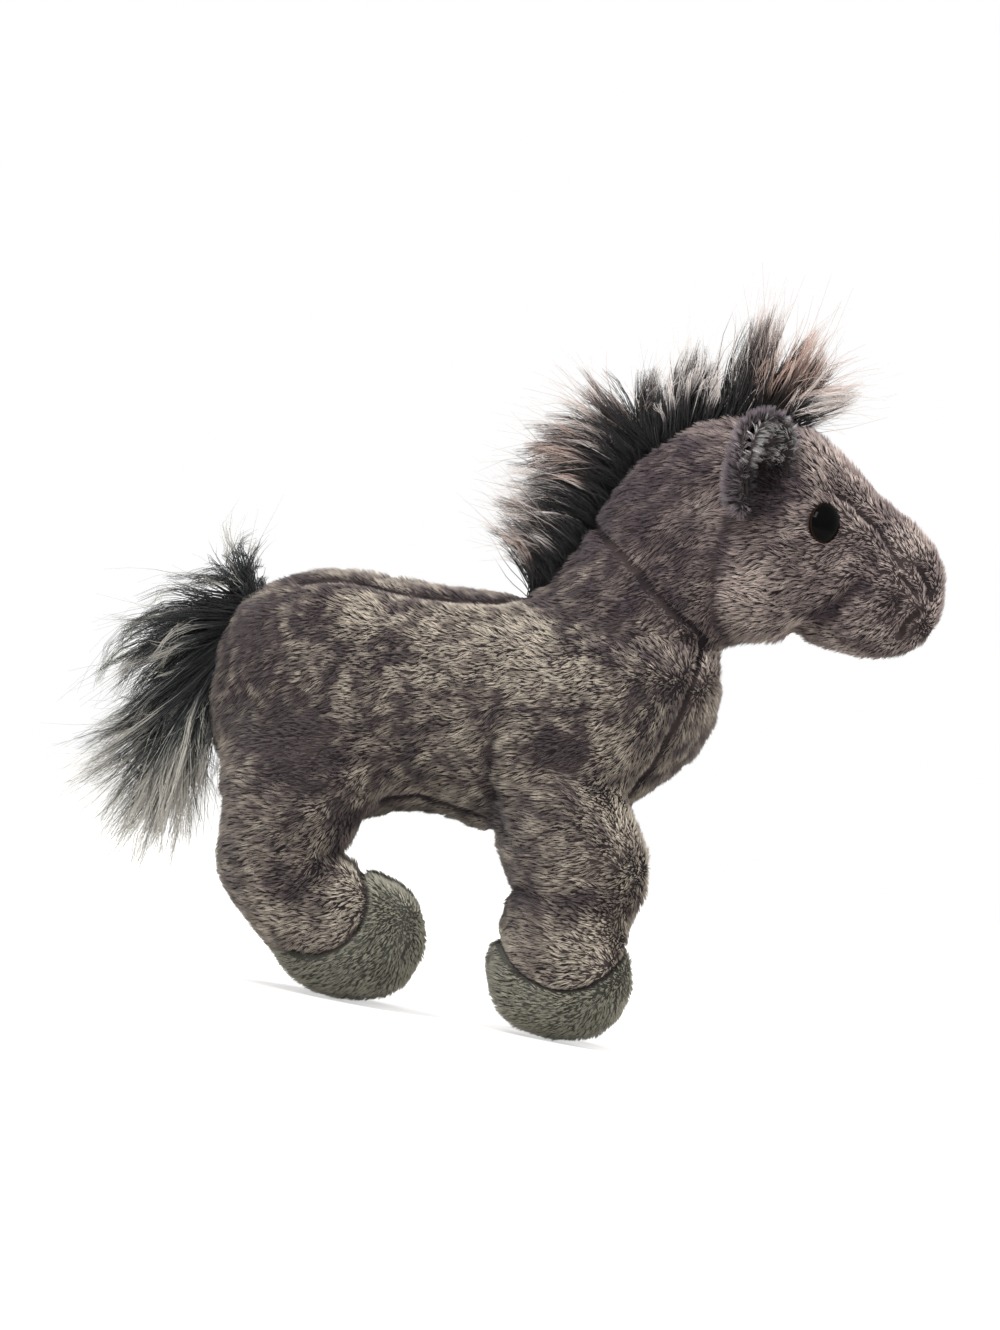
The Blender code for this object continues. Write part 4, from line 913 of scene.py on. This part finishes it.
# A fibre that would reach a seam ends this share of its length before it
BACK_OFF = 0.12
near = seam_depth(feet, 3.0, (SEWN,))[1] > 0.03
held_back = np.ones(len(feet))
for share in (1.0, 0.8, 0.6, 0.4, 0.2):
    there = (feet + (tips - feet) * share)[near]
    met = np.zeros(len(feet), bool)
    met[near] = seam_depth(there, 0.46, (SEWN,))[1] > 0.4
    held_back[met] = share - BACK_OFF
held_back[np.random.default_rng(9).random(len(feet)) < OVER_SEAM] = 1.0
tips = feet + (tips - feet) * held_back[:, None]

# %% Tones, and room for the eyes
EYE_AT = at(83.7, 166.7)
EYE_ROOM = (4.3, 5.3)
FOLD_PAINTED_SHADE = 0.12
regional = blend_table(feet, TONES, 3.0)
# Painted shade: the print darkens near seams and folds, and a fibre's own tone much more along a sewn seam,
# for the shade in those valleys
tone = regional[:, 0] + dapples_and_shadows(feet) - FOLD_PAINTED_SHADE * folds
own = own * (1 - 0.95 * line) * (1 - 0.3 * folds)
eye_gap = np.hypot((feet[:, 0] - EYE_AT.x) / EYE_ROOM[0], (feet[:, 2] - EYE_AT.z) / EYE_ROOM[1]) / MM
stay = ~((eye_gap < 1) & (np.abs(feet[:, 1]) > 8 * MM))
sunk = feet - up * 0.5 * MM
wide = FIBRE_WIDE * MM * np.random.default_rng(5).uniform(0.8, 1.2, len(feet))
print("fibres", int(stay.sum()))

# %% Pile pieces
TRUNK_SPLIT = at(-13, 0).x
facts = np.stack([own, tone, regional[:, 1]], axis=1)
parts = [(name, f"{name}_pile", names == name) for name in skins if name != "torso"]
for side, sign in SIDES:
    for end, ahead in (("fore", True), ("hind", False)):
        quarter = (np.sign(feet[:, 1]) == sign) & ((feet[:, 0] > TRUNK_SPLIT) == ahead)
        parts.append(("torso", f"torso_pile_{end}_{side}", (names == "torso") & quarter))
piles = {}
for name, label, mine in parts:
    mine = mine & stay
    finish = hoof_plush if name.startswith("hoof") else printed_plush
    piles[label] = slivers(label, sunk[mine], tips[mine], up[mine], wide[mine], facts[mine], finish)
    print(label, int(mine.sum()), "fibres")
for name, piece in skins.items():
    piece.data.materials.clear()
    piece.data.materials.append(hoof_shaded_ground if name.startswith("hoof") else printed_shaded_ground)

# %% [markdown]
# ## Eyes
# A safety eye is a moulded black bead on a shank that goes through the cheek into a washer.
# Only its dome shows, set in a thin brown rim. The dome starts as a sphere and is
# flattened; the rim starts as a ring.

# %% Eye domes and rims
EYE_WIDE, EYE_RISE, EYE_TILT = 11.2, 2.9, 10.0
EYE_OVAL = (0.92, 1.1)
RIM_REACH, RIM_THICK = 5.2, 0.5
EYE_SUNK, RIM_OUT = 0.3, 0.1
FLOW = 3.0


def gloss(name, code, roughness, level):
    """Moulded plastic: smooth and hard, with faint flow marks in its colour."""
    new, tree, shader = material(name, Roughness=roughness, Specular_IOR_Level=level)
    place = add(tree, "TexCoord")["Object"]
    flow = add(tree, "TexNoise", {"Vector": place, "Scale": 1000 / FLOW, "Detail": 2.0})[0]
    colour = add(tree, "ValToRGB", [flow], ((0.4, paint(code)), (0.65, paint(code, 1.5))))[0]
    tree.links.new(colour, shader.inputs["Base Color"])
    return new


eye_black = gloss("black_acrylic_moulded", "040303", 0.04, 0.045)
rim_brown = gloss("brown_acrylic_matt_moulded", "20140e", 0.6, 0.04)
washer_white = gloss("natural_polyethylene_moulded", "d9d6cc", 0.4, 0.5)
body_tree = BVHTree.FromObject(body, bpy.context.evaluated_depsgraph_get())
for side, sign in SIDES:
    place, facing = body_tree.ray_cast(Vector((EYE_AT.x, sign * 0.1, EYE_AT.z)), Vector((0, -sign, 0)))[:2]
    facing = (facing + Vector((0.1, 0, 0.02))).normalized()
    tilt = Quaternion((0, 0, 1), math.radians(EYE_TILT) * sign)
    turn = (facing.to_track_quat("Z", "Y") @ tilt).to_euler()
    dome = begin(f"eye_dome_{side}", bpy.ops.mesh.primitive_uv_sphere_add, segments=48, ring_count=24,
                 radius=EYE_WIDE / 2 * MM, location=place - facing * EYE_SUNK * MM, rotation=turn)
    dome.scale = (*EYE_OVAL, EYE_RISE / (EYE_WIDE / 2))
    rim = begin(f"eye_rim_{side}", bpy.ops.mesh.primitive_torus_add, location=place + facing * RIM_OUT * MM,
                rotation=turn, major_segments=48, minor_segments=12, major_radius=RIM_REACH * MM,
                minor_radius=RIM_THICK * MM)
    rim.scale = (*EYE_OVAL, 1.0)
    for piece, finish in ((dome, eye_black), (rim, rim_brown)):
        only(piece)
        bpy.ops.object.transform_apply(location=True, rotation=True, scale=True)
        bpy.ops.object.shade_smooth()
        piece.data.materials.append(finish)
        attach(piece, "head")
    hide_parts(f"eye_{side}")
    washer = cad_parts[f"eye_washer_{side}"]
    washer.data.materials.clear()
    washer.data.materials.append(washer_white)
    print(f"eye_{side} at", [round(v / MM, 1) for v in place], "mm")

# %% [markdown]
# ## Ears
# An ear is two leaves of plush sewn together and pinched at the root, so it cups. The
# outside is the same lavender grey as the head and the lining is a paler curled plush.
# Each leaf starts as a flat grid, is rolled into a cup and gets its thickness.

# %% Ear leaves
EAR_TALL = 30.0
EAR_WIDTHS = ((0, 8), (0.12, 14), (0.35, 16.5), (0.6, 15), (0.8, 13), (0.93, 8.5), (1, 2.5))
EAR_ROLL = ((0, 120), (0.2, 104), (0.45, 84), (0.7, 66), (1, 45))
EAR_FACING = math.radians(40)


def leaf(name, sign, width, low, high, ahead, thick, plump):
    """One cupped leaf of an ear, opening forwards and outwards, plump near its top."""
    piece = begin(name, bpy.ops.mesh.primitive_grid_add, x_subdivisions=14, y_subdivisions=18)
    flat = points_of(piece.data)
    share = low + (flat[:, 1] + 1) / 2 * (high - low)
    half = np.interp(share, *zip(*EAR_WIDTHS)) * width
    roll = np.radians(np.interp(share, *zip(*EAR_ROLL)))
    bow = half / roll
    across = bow * np.sin(flat[:, 0] * roll)
    bulge = plump * np.exp(-((share - 0.72) / 0.2) ** 2) * np.cos(flat[:, 0])
    forward = bow * (1 - np.cos(flat[:, 0] * roll)) + ahead - bow * 0.5 + 2.5 * share ** 2
    forward = forward + 2.5 * (1 - share) ** 2 + bulge
    foot, tip = at(56.5, 166.5, 23.5 * sign), at(62.5, 196, 30.5 * sign)
    rise = (tip - foot).normalized()
    face = Vector((math.cos(EAR_FACING), sign * math.sin(EAR_FACING), 0.12))
    face = (face - rise * face.dot(rise)).normalized()
    reshape(piece, np.array(foot) + np.outer(share * EAR_TALL * MM, rise)
            + np.outer(across * MM, rise.cross(face)) + np.outer(forward * MM, face))
    apply(piece, "SOLIDIFY", thickness=thick * MM, offset=0)
    apply(piece, "SUBSURF", levels=1, render_levels=1)
    with editing(piece):
        bpy.ops.mesh.normals_make_consistent(inside=False)
    bpy.ops.object.shade_smooth()
    return piece, np.array(foot), np.array(rise)


# %% Both ears with their pile
EAR_FIBRE, EAR_SUNK = 3.2 * MM, 0.4 * MM
# A foot with the other leaf this near above it grows no fibre
CLEARANCE = 2.6 * MM
for side, sign in SIDES:
    back, foot, rise = leaf(f"ear_back_{side}_skin", sign, 1.0, 0.0, 1.0, 0.0, 1.6, 0.0)
    lining = leaf(f"ear_lining_{side}_skin", sign, 0.87, 0.08, 0.95, 1.5, 1.0, 2.0)[0]
    graph = bpy.context.evaluated_depsgraph_get()
    for kind, piece, other, finish, slot, area, pull, sway in (
        ("back", back, lining, ear_plush, "printed_plush", 2.0, 0.75, 0.9),
        ("lining", lining, back, lining_plush, "lining_plush", 2.2, 0.88, 1.6),
    ):
        piece.data.materials.append(printed_shaded_ground)
        ear_feet, ear_up = strew(piece, FIBRES_PER_MM2, 40 + sign)
        tree = BVHTree.FromObject(other, graph)
        bare = [tree.ray_cast(Vector(low), Vector(normal), CLEARANCE)[0] is None
                for low, normal in zip(ear_feet.tolist(), ear_up.tolist())]
        ear_feet, ear_up = ear_feet[bare], ear_up[bare]
        ear_tips, ear_own = comb(ear_feet, ear_up, EAR_FIBRE, 50 + sign, rise, area, pull, 0.4, sway)
        ear_tone = 0.5 + 0.12 * drift(ear_feet, 6.0, 60)
        if kind == "lining":
            climb = (ear_feet - foot) @ rise / (EAR_TALL * MM)
            # Painted shade: the lining darkens towards the ear's root, in own tone and print, for the shade
            # inside the lower cup
            lining_unshaded = np.clip((climb - 0.4) / 0.16, 0.0, 1)
            ear_own, ear_tone = ear_own * lining_unshaded, ear_tone - 0.5 * (1 - lining_unshaded)
        tones = np.stack([ear_own, ear_tone, np.ones(len(ear_feet))], axis=1)
        ear_feet = ear_feet - ear_up * EAR_SUNK
        pile = slivers(f"ear_{kind}_{side}_pile", ear_feet, ear_tips, ear_up, FIBRE_WIDE * MM, tones, finish)
        for part in (piece, pile):
            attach(part, f"ear_{side}")
        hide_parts(f"ear_{kind}_{side}")
        print(pile.name, len(ear_feet), "fibres")

# %% [markdown]
# ## Mane, forelock and tail
# Long acrylic hair is sewn into the crest, between the ears and into the tail seam. It is
# dark at the root and frosted at the tips, and it falls in locks with stray hairs round
# them. Each hair is a thin three-sided tube, drawn 0.3 mm thick where the real one is
# 0.06 mm.

# %% Locks: root, middle and tip, half the width, and the share of pale hairs
MANE_LOCKS = (
    (3, 132, 0.5, 140, -8, 147, 1.2, 0.15), (6, 136, -1, 144, -13, 148, 1.8, 0.2),
    (9, 141, 1, 149, -11, 153, 2.4, 0.15), (12, 146, 2, 153, -10, 157, 2.4, 0.2),
    (14, 150, 4, 156, -9, 158, 2.2, 0.5), (16, 156, 6, 163, -8, 164, 2.8, 0.25),
    (18, 162, 7, 169, -7, 168, 3.0, 0.25), (20, 168, 9, 174, -5, 175, 2.8, 0.2),
    (22, 172, 12, 179, -5, 181, 2.2, 0.2), (24, 176, 14, 182, 2, 187, 2.6, 0.3),
    (27, 180, 18, 186.5, 7, 196, 1.7, 0.15), (29, 183, 26, 191, 24.5, 204, 1.0, 0.15),
    (32, 185, 31, 193, 29, 202, 1.6, 0.3), (36, 187, 35, 197, 36, 211, 2.0, 0.45),
    (40, 189, 40, 199, 41, 210, 2.2, 0.5),
)
FORELOCK_LOCKS = (
    (44, 190, 46, 198, 47, 206, 2.0, 0.5), (50, 191, 52.5, 204, 54.5, 222, 1.7, 0.1),
    (54, 193, 56, 206, 56.5, 225, 1.7, 0.3), (58, 194, 60, 204, 61, 213, 2.2, 0.5),
    (62, 195, 66, 206, 71, 221, 2.0, 0.6), (65, 196, 70, 205, 76, 217, 1.9, 0.6),
    (67, 196, 73, 203, 86, 210, 1.6, 0.9), (68, 195.5, 73, 200, 84, 206, 1.3, 0.8),
    (69, 195, 72, 198, 79, 202, 1.0, 0.3),
)
TAIL_LOCKS = (
    (-81, 114, -87, 122, -93, 130, 1.0, 0.3), (-81, 115, -85, 124, -87, 133, 0.9, 0.4),
    (-80, 115, -82, 123, -83, 131, 1.0, 0.4), (-79, 115, -79, 120, -76, 122, 0.8, 0.5),
    (-82, 113, -91, 118, -100, 119, 1.3, 0.15), (-82, 111, -93, 114, -104, 112, 1.8, 0.25),
    (-82, 109, -97, 108, -111, 104, 2.0, 0.1), (-82, 106, -101, 104, -114, 97, 1.5, 0.15),
    (-83, 105, -102, 101, -116.5, 91, 2.6, 0.3), (-83, 104, -103, 96, -118, 84, 2.8, 0.35),
    (-83, 103, -102, 93, -119, 81, 1.8, 0.3), (-83, 102, -100, 88, -111, 78, 2.2, 0.3),
    (-83, 101, -98, 84, -107, 70, 2.4, 0.15), (-84, 100, -101, 79, -120, 63, 2.4, 0.15),
    (-84, 99, -102, 73, -122, 54, 2.6, 0.15), (-84, 98, -101, 69, -120, 49, 2.4, 0.2),
    (-84, 97, -99, 65, -112, 42, 2.4, 0.35), (-84, 97, -96, 63, -107.5, 32.5, 2.4, 0.45),
    (-84, 96, -93, 64, -100.5, 32, 2.4, 0.7), (-84, 96, -91.5, 66, -94, 36, 2.2, 0.85),
    (-84, 95, -90, 67, -88.5, 38, 1.8, 0.85), (-84, 95, -88.5, 70, -84, 48, 1.2, 0.8),
)

# %% Hair tubes
HAIR_WIDE = 0.15
HAIR_TAPER = 0.82
# A direction that no hair follows, to start each hair's sides from
ASIDE = (0.13, 0.97, 0.21)


def tubes(name, paths, tones, finish):
    """Closed three-sided hairs along paths, thinner to the end. Tones are a hair's own and its paleness."""
    count, steps = paths.shape[:2]
    along = unit(np.gradient(paths, axis=1))
    shares = np.linspace(0, 1, steps)
    wide = HAIR_WIDE * MM * (1 - HAIR_TAPER * shares ** 1.5)[:, None]
    ring = three_sides(paths, wide, along, unit(np.cross(along, ASIDE)))
    faces, layout = [], []
    for row in range(steps - 1):
        low, high = row / (steps - 1), (row + 1) / (steps - 1)
        for k in range(3):
            a, b = row * 3 + k, row * 3 + (k + 1) % 3
            faces.append((a, b, b + 3, a + 3))
            layout += [(k / 3, low), ((k + 1) / 3, low), ((k + 1) / 3, high), (k / 3, high)]
    end = steps * 3
    faces += [(2, 1, 0), (end - 3, end - 2, end - 1)]
    layout += [(0, 0), (0.5, 0.02), (1, 0), (0, 1), (1, 1), (0.5, 0.98)]
    tuft = np.ones((count, steps, 3, 4))
    tuft[..., 0] = shares[:, None]
    tuft[..., 1:3] = tones[:, None, None]
    places = np.stack(ring, axis=2).reshape(count, end, 3)
    return fibre_mesh(name, places, faces, 0.07 + 0.86 * np.array(layout), paths[:, 0], tuft, finish)


# %% Growing locks
# The hairs in a wisp, and the share of them that stray
WISP, STRAY = 12, 0.12


def grow(locks, count, seed, wave, points):
    """Paths for hairs: a lock is many wisps, and a wisp is a few hairs that close to a point."""
    dice = np.random.default_rng(seed)
    reach_all = [np.linalg.norm(np.subtract(lock[2], lock[0])) * (1 + 0.3 * lock[4]) for lock in locks]
    t = np.linspace(0, 1, points)[None, :, None]
    paths, tones = [], []
    for reach, (root, middle, tip, sides, width, pale) in zip(reach_all, locks):
        wisps = max(1, int(count * reach / sum(reach_all) / WISP))
        bend = 2 * middle - (root + tip) / 2
        offset = dice.uniform(-1, 1, (wisps, 3)) * sides
        share = (dice.uniform(0.5, 1.08, wisps) ** 0.8)[:, None]
        around = dice.normal(0, 1, (wisps, 3)) * width
        start = root + offset
        control = start + (bend - root) * share + around * 1.3
        stop = start + (tip - root) * share + around * 0.8
        phase = dice.uniform(0, 6.28, (wisps, 1, 3))
        turns = dice.uniform(0.5, 1.0, (wisps, 1, 1)) * points
        frosted = dice.random(wisps) < pale
        tint = np.where(frosted, dice.normal(0.92, 0.12, wisps), dice.normal(0.1, 0.1, wisps))
        for k in range(WISP):
            lone = (dice.random(wisps) < STRAY)[:, None]
            own = dice.normal(0, 0.7, (wisps, 3))
            end = stop + np.where(lone, (tip - root) * 0.18, 0)
            end = end + dice.normal(0, 1, (wisps, 3)) * np.where(lone, 4.5, 0.5)
            turn = control + own * 0.9 + np.where(lone, own * 4, 0)
            path = (1 - t) ** 2 * (start + own)[:, None] + 2 * t * (1 - t) * turn[:, None]
            sway = 0.75 + 0.35 * dice.normal(0, 1, (wisps, 1, 1))
            paths.append(path + t ** 2 * end[:, None] + np.sin(phase + t * turns) * t * wave * sway)
            tones.append(np.stack([dice.random(wisps), np.clip(tint + 0.5 * lone[:, 0], 0, 1)], axis=1))
    paths = np.concatenate(paths) * MM
    paths[:, :, 0] += SHIFT * MM
    return paths, np.concatenate(tones)


def lock_rows(table, along, aside, spread_y):
    """Each lock of a table three times: in the middle and a little to either side."""
    locks = []
    for rx, rz, mx, mz, tx, tz, width, pale in table:
        for sign in (0, -1, 1):
            root = np.array([rx, 0.0, rz])
            middle = np.array([mx + 0.8 * sign, 0.7 * sign * spread_y, mz])
            tip = np.array([tx + 1.0 * sign, sign * spread_y, tz - 1.5 * abs(sign)])
            root -= (middle - root) / np.linalg.norm(middle - root) * ROOT_SUNK
            locks.append((root, middle, tip, np.array([along, aside, along]), width, pale))
    return locks


# %% Hair colour: acrylic fibre, dark roots and frosted ends
TINT = 14.0


def hair(name, root, middle, tip, warm):
    """Spun acrylic: a soft line of light along each hair and a colour that fades to the end."""
    new, tree, shader = material(name, Roughness=0.5, Sheen_Weight=0.1, Specular_IOR_Level=0.25)
    tuft = add(tree, "Attribute", attribute_name="tuft")["Color"]
    place = add(tree, "Attribute", attribute_name="place")["Vector"]
    share, own, paleness = add(tree, "SeparateColor", [tuft])
    shift = add(tree, "Math", (paleness, 0.8, -0.38), operation="MULTIPLY_ADD")[0]
    own = add(tree, "Math", (own, 0.3, -0.15), operation="MULTIPLY_ADD")[0]
    total = add(tree, "Math", (share, shift, share), operation="MULTIPLY_ADD")[0]
    total = add(tree, "Math", (total, own), operation="ADD")[0]
    fade = add(tree, "ValToRGB", [total], ((0.34, paint(root)), (0.62, paint(middle)), (0.9, paint(tip))))[0]
    patch = add(tree, "TexNoise", {"Vector": place, "Scale": 1000 / TINT, "Detail": 1.0})[0]
    amount = add(tree, "ValToRGB", [patch], ((0.52, grey(0)), (0.62, grey(0.7))))[0]
    mixed = add(tree, "Mix", {0: amount, 6: fade, 7: paint(warm)}, data_type="RGBA", blend_type="MULTIPLY")[2]
    tree.links.new(mixed, shader.inputs["Base Color"])
    return new


mane_hair = hair("frosted_acrylic_mane_hair_spun", "121114", "423e3f", "f1e8e3", "c9a08c")
tail_hair = hair("frosted_acrylic_tail_hair_spun", "191b1e", "474a4b", "d3cfc6", "cfd2d0")

# %% Mane, forelock and tail pieces
HAIRS = 1.0
ROOT_SUNK = 3.0
hairs = {}
for label, locks, count, seed, finish, wave, points in (
    ("mane_hair", lock_rows(MANE_LOCKS, 1.6, 3.2, 4.5), 6000, 71, mane_hair, 1.3, 6),
    ("forelock_hair", lock_rows(FORELOCK_LOCKS, 1.6, 3.4, 4.5), 4200, 72, mane_hair, 1.3, 6),
    ("tail_hair", lock_rows(TAIL_LOCKS, 1.4, 3.5, 7.0), 4400, 73, tail_hair, 3.2, 8),
):
    paths, tuft = grow(locks, int(count * HAIRS), seed, wave, points)
    hairs[label] = tubes(label, paths, tuft, finish)
    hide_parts(label.replace("_hair", ""))
    print(label, len(paths), "hairs")

# %% [markdown]
# ## Riding, and the bends listed
# Each skin and its pile ride on one body, or are listed with the hinge they would bend across,
# with the same start and end for both; no bend is set up here, and those pieces are only fixed in place.

# %% Bodies, bends and what each piece stands for
BEND = {"neck": ("torso", "neck", NECK_CUT, (0, 12)), "head": ("neck", "head", HEAD_CUT, (0, 12))}
STANDS_FOR = {
    "torso": ("side_panel_left", "side_panel_right", "back_gusset", "belly_gusset", "chest_gusset",
              "torso_filling"),
    "neck": ("neck_panel_left", "neck_panel_right", "neck_filling"),
    "head": ("cheek_panel_left", "cheek_panel_right", "face_gusset", "head_filling"),
}
for end, cut, _, _, reach in ENDS:
    for side, _ in SIDES:
        BEND[f"leg_{end}_{side}"] = ("torso", f"{end}_leg_{side}", cut, reach)
        STANDS_FOR[f"leg_{end}_{side}"] = (f"leg_skin_{end}_{side}", f"leg_filling_{end}_{side}")
        STANDS_FOR[f"hoof_{end}_{side}"] = (f"hoof_{end}_{side}",)


def carry(piece, name):
    """Let a piece ride on its body; a piece of a bending part is only fixed in place."""
    if name in BEND:
        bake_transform(piece)
    elif name.startswith("hoof"):
        _, end, side = name.split("_")
        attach(piece, f"{end}_leg_{side}")
    else:
        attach(piece, "torso")


for name, piece in skins.items():
    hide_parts(*STANDS_FOR[name])
for label, piece in (*skins.items(), *piles.items()):
    name = label.split("_pile")[0]
    carry(piece, name)
carry(hairs["mane_hair"], "neck")
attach(hairs["forelock_hair"], "head")
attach(hairs["tail_hair"], "tail")
bpy.data.objects.remove(body)

# %% [markdown]
# ## Room and light
# The horse stands on a plain pale floor in soft studio light, brightest from the upper
# left in front. The floor and the air behind it look white to the camera, and the floor
# keeps the shadow.

# %% Floor
FLOOR_GLOW = 0.55


def seen_itself(tree):
    """One where the camera sees a thing directly, mirrored or through glass, and else zero."""
    ray = add(tree, "LightPath")
    direct = add(tree, "Math", (ray["Is Camera Ray"], ray["Is Glossy Ray"]), operation="ADD")[0]
    return add(tree, "Math", (direct, ray["Is Transmission Ray"]), operation="ADD", use_clamp=True)[0]


floor = begin("floor", bpy.ops.mesh.primitive_plane_add, size=6)
floor_paint, tree, shader = material("pale_floor_paint", Roughness=0.8)
grain = add(tree, "TexNoise", {"Scale": 400.0})[0]
colour = add(tree, "ValToRGB", [grain], ((0.3, paint("e2e0dc")), (0.7, paint("e6e4e0"))))[0]
tree.links.new(colour, shader.inputs["Base Color"])
strength = add(tree, "Math", (seen_itself(tree), FLOOR_GLOW), operation="MULTIPLY")[0]
glow = add(tree, "Emission", (grey(1), strength))[0]
both = add(tree, "AddShader", (shader.outputs[0], glow))[0]
tree.links.new(both, tree.nodes["Material Output"].inputs["Surface"])
floor.data.materials.append(floor_paint)

# %% Air and lamps
AIR_LIGHT = 0.58
world = bpy.context.scene.world or bpy.data.worlds.new("air")
bpy.context.scene.world = world
world.use_nodes = True
tree = world.node_tree
strength = add(tree, "Math", (seen_itself(tree), 1 - AIR_LIGHT, AIR_LIGHT), operation="MULTIPLY_ADD")[0]
back = tree.nodes["Background"]
back.inputs["Color"].default_value = grey(1)
tree.links.new(strength, back.inputs["Strength"])


def lamp(name, place, aim, size, power):
    """A square soft lamp aimed at a point."""
    data = bpy.data.lights.new(name, "AREA")
    data.size = size
    data.energy = power
    new = bpy.data.objects.new(name, data)
    bpy.context.scene.collection.objects.link(new)
    new.location = place
    new.rotation_euler = (Vector(aim) - Vector(place)).to_track_quat("-Z", "Y").to_euler()
    return new


lamp("key", (-0.55, -1.0, 1.15), (0, 0, 0.1), 0.6, 15)
lamp("spark", (-0.95, -0.75, 0.85), (0.08, 0, 0.17), 0.05, 2.2)
lamp("fill", (1.0, -0.9, 0.5), (0, 0, 0.1), 0.9, 4).visible_glossy = False
lamp("rim", (0.3, 1.1, 1.0), (0, 0, 0.1), 0.8, 11).visible_glossy = False
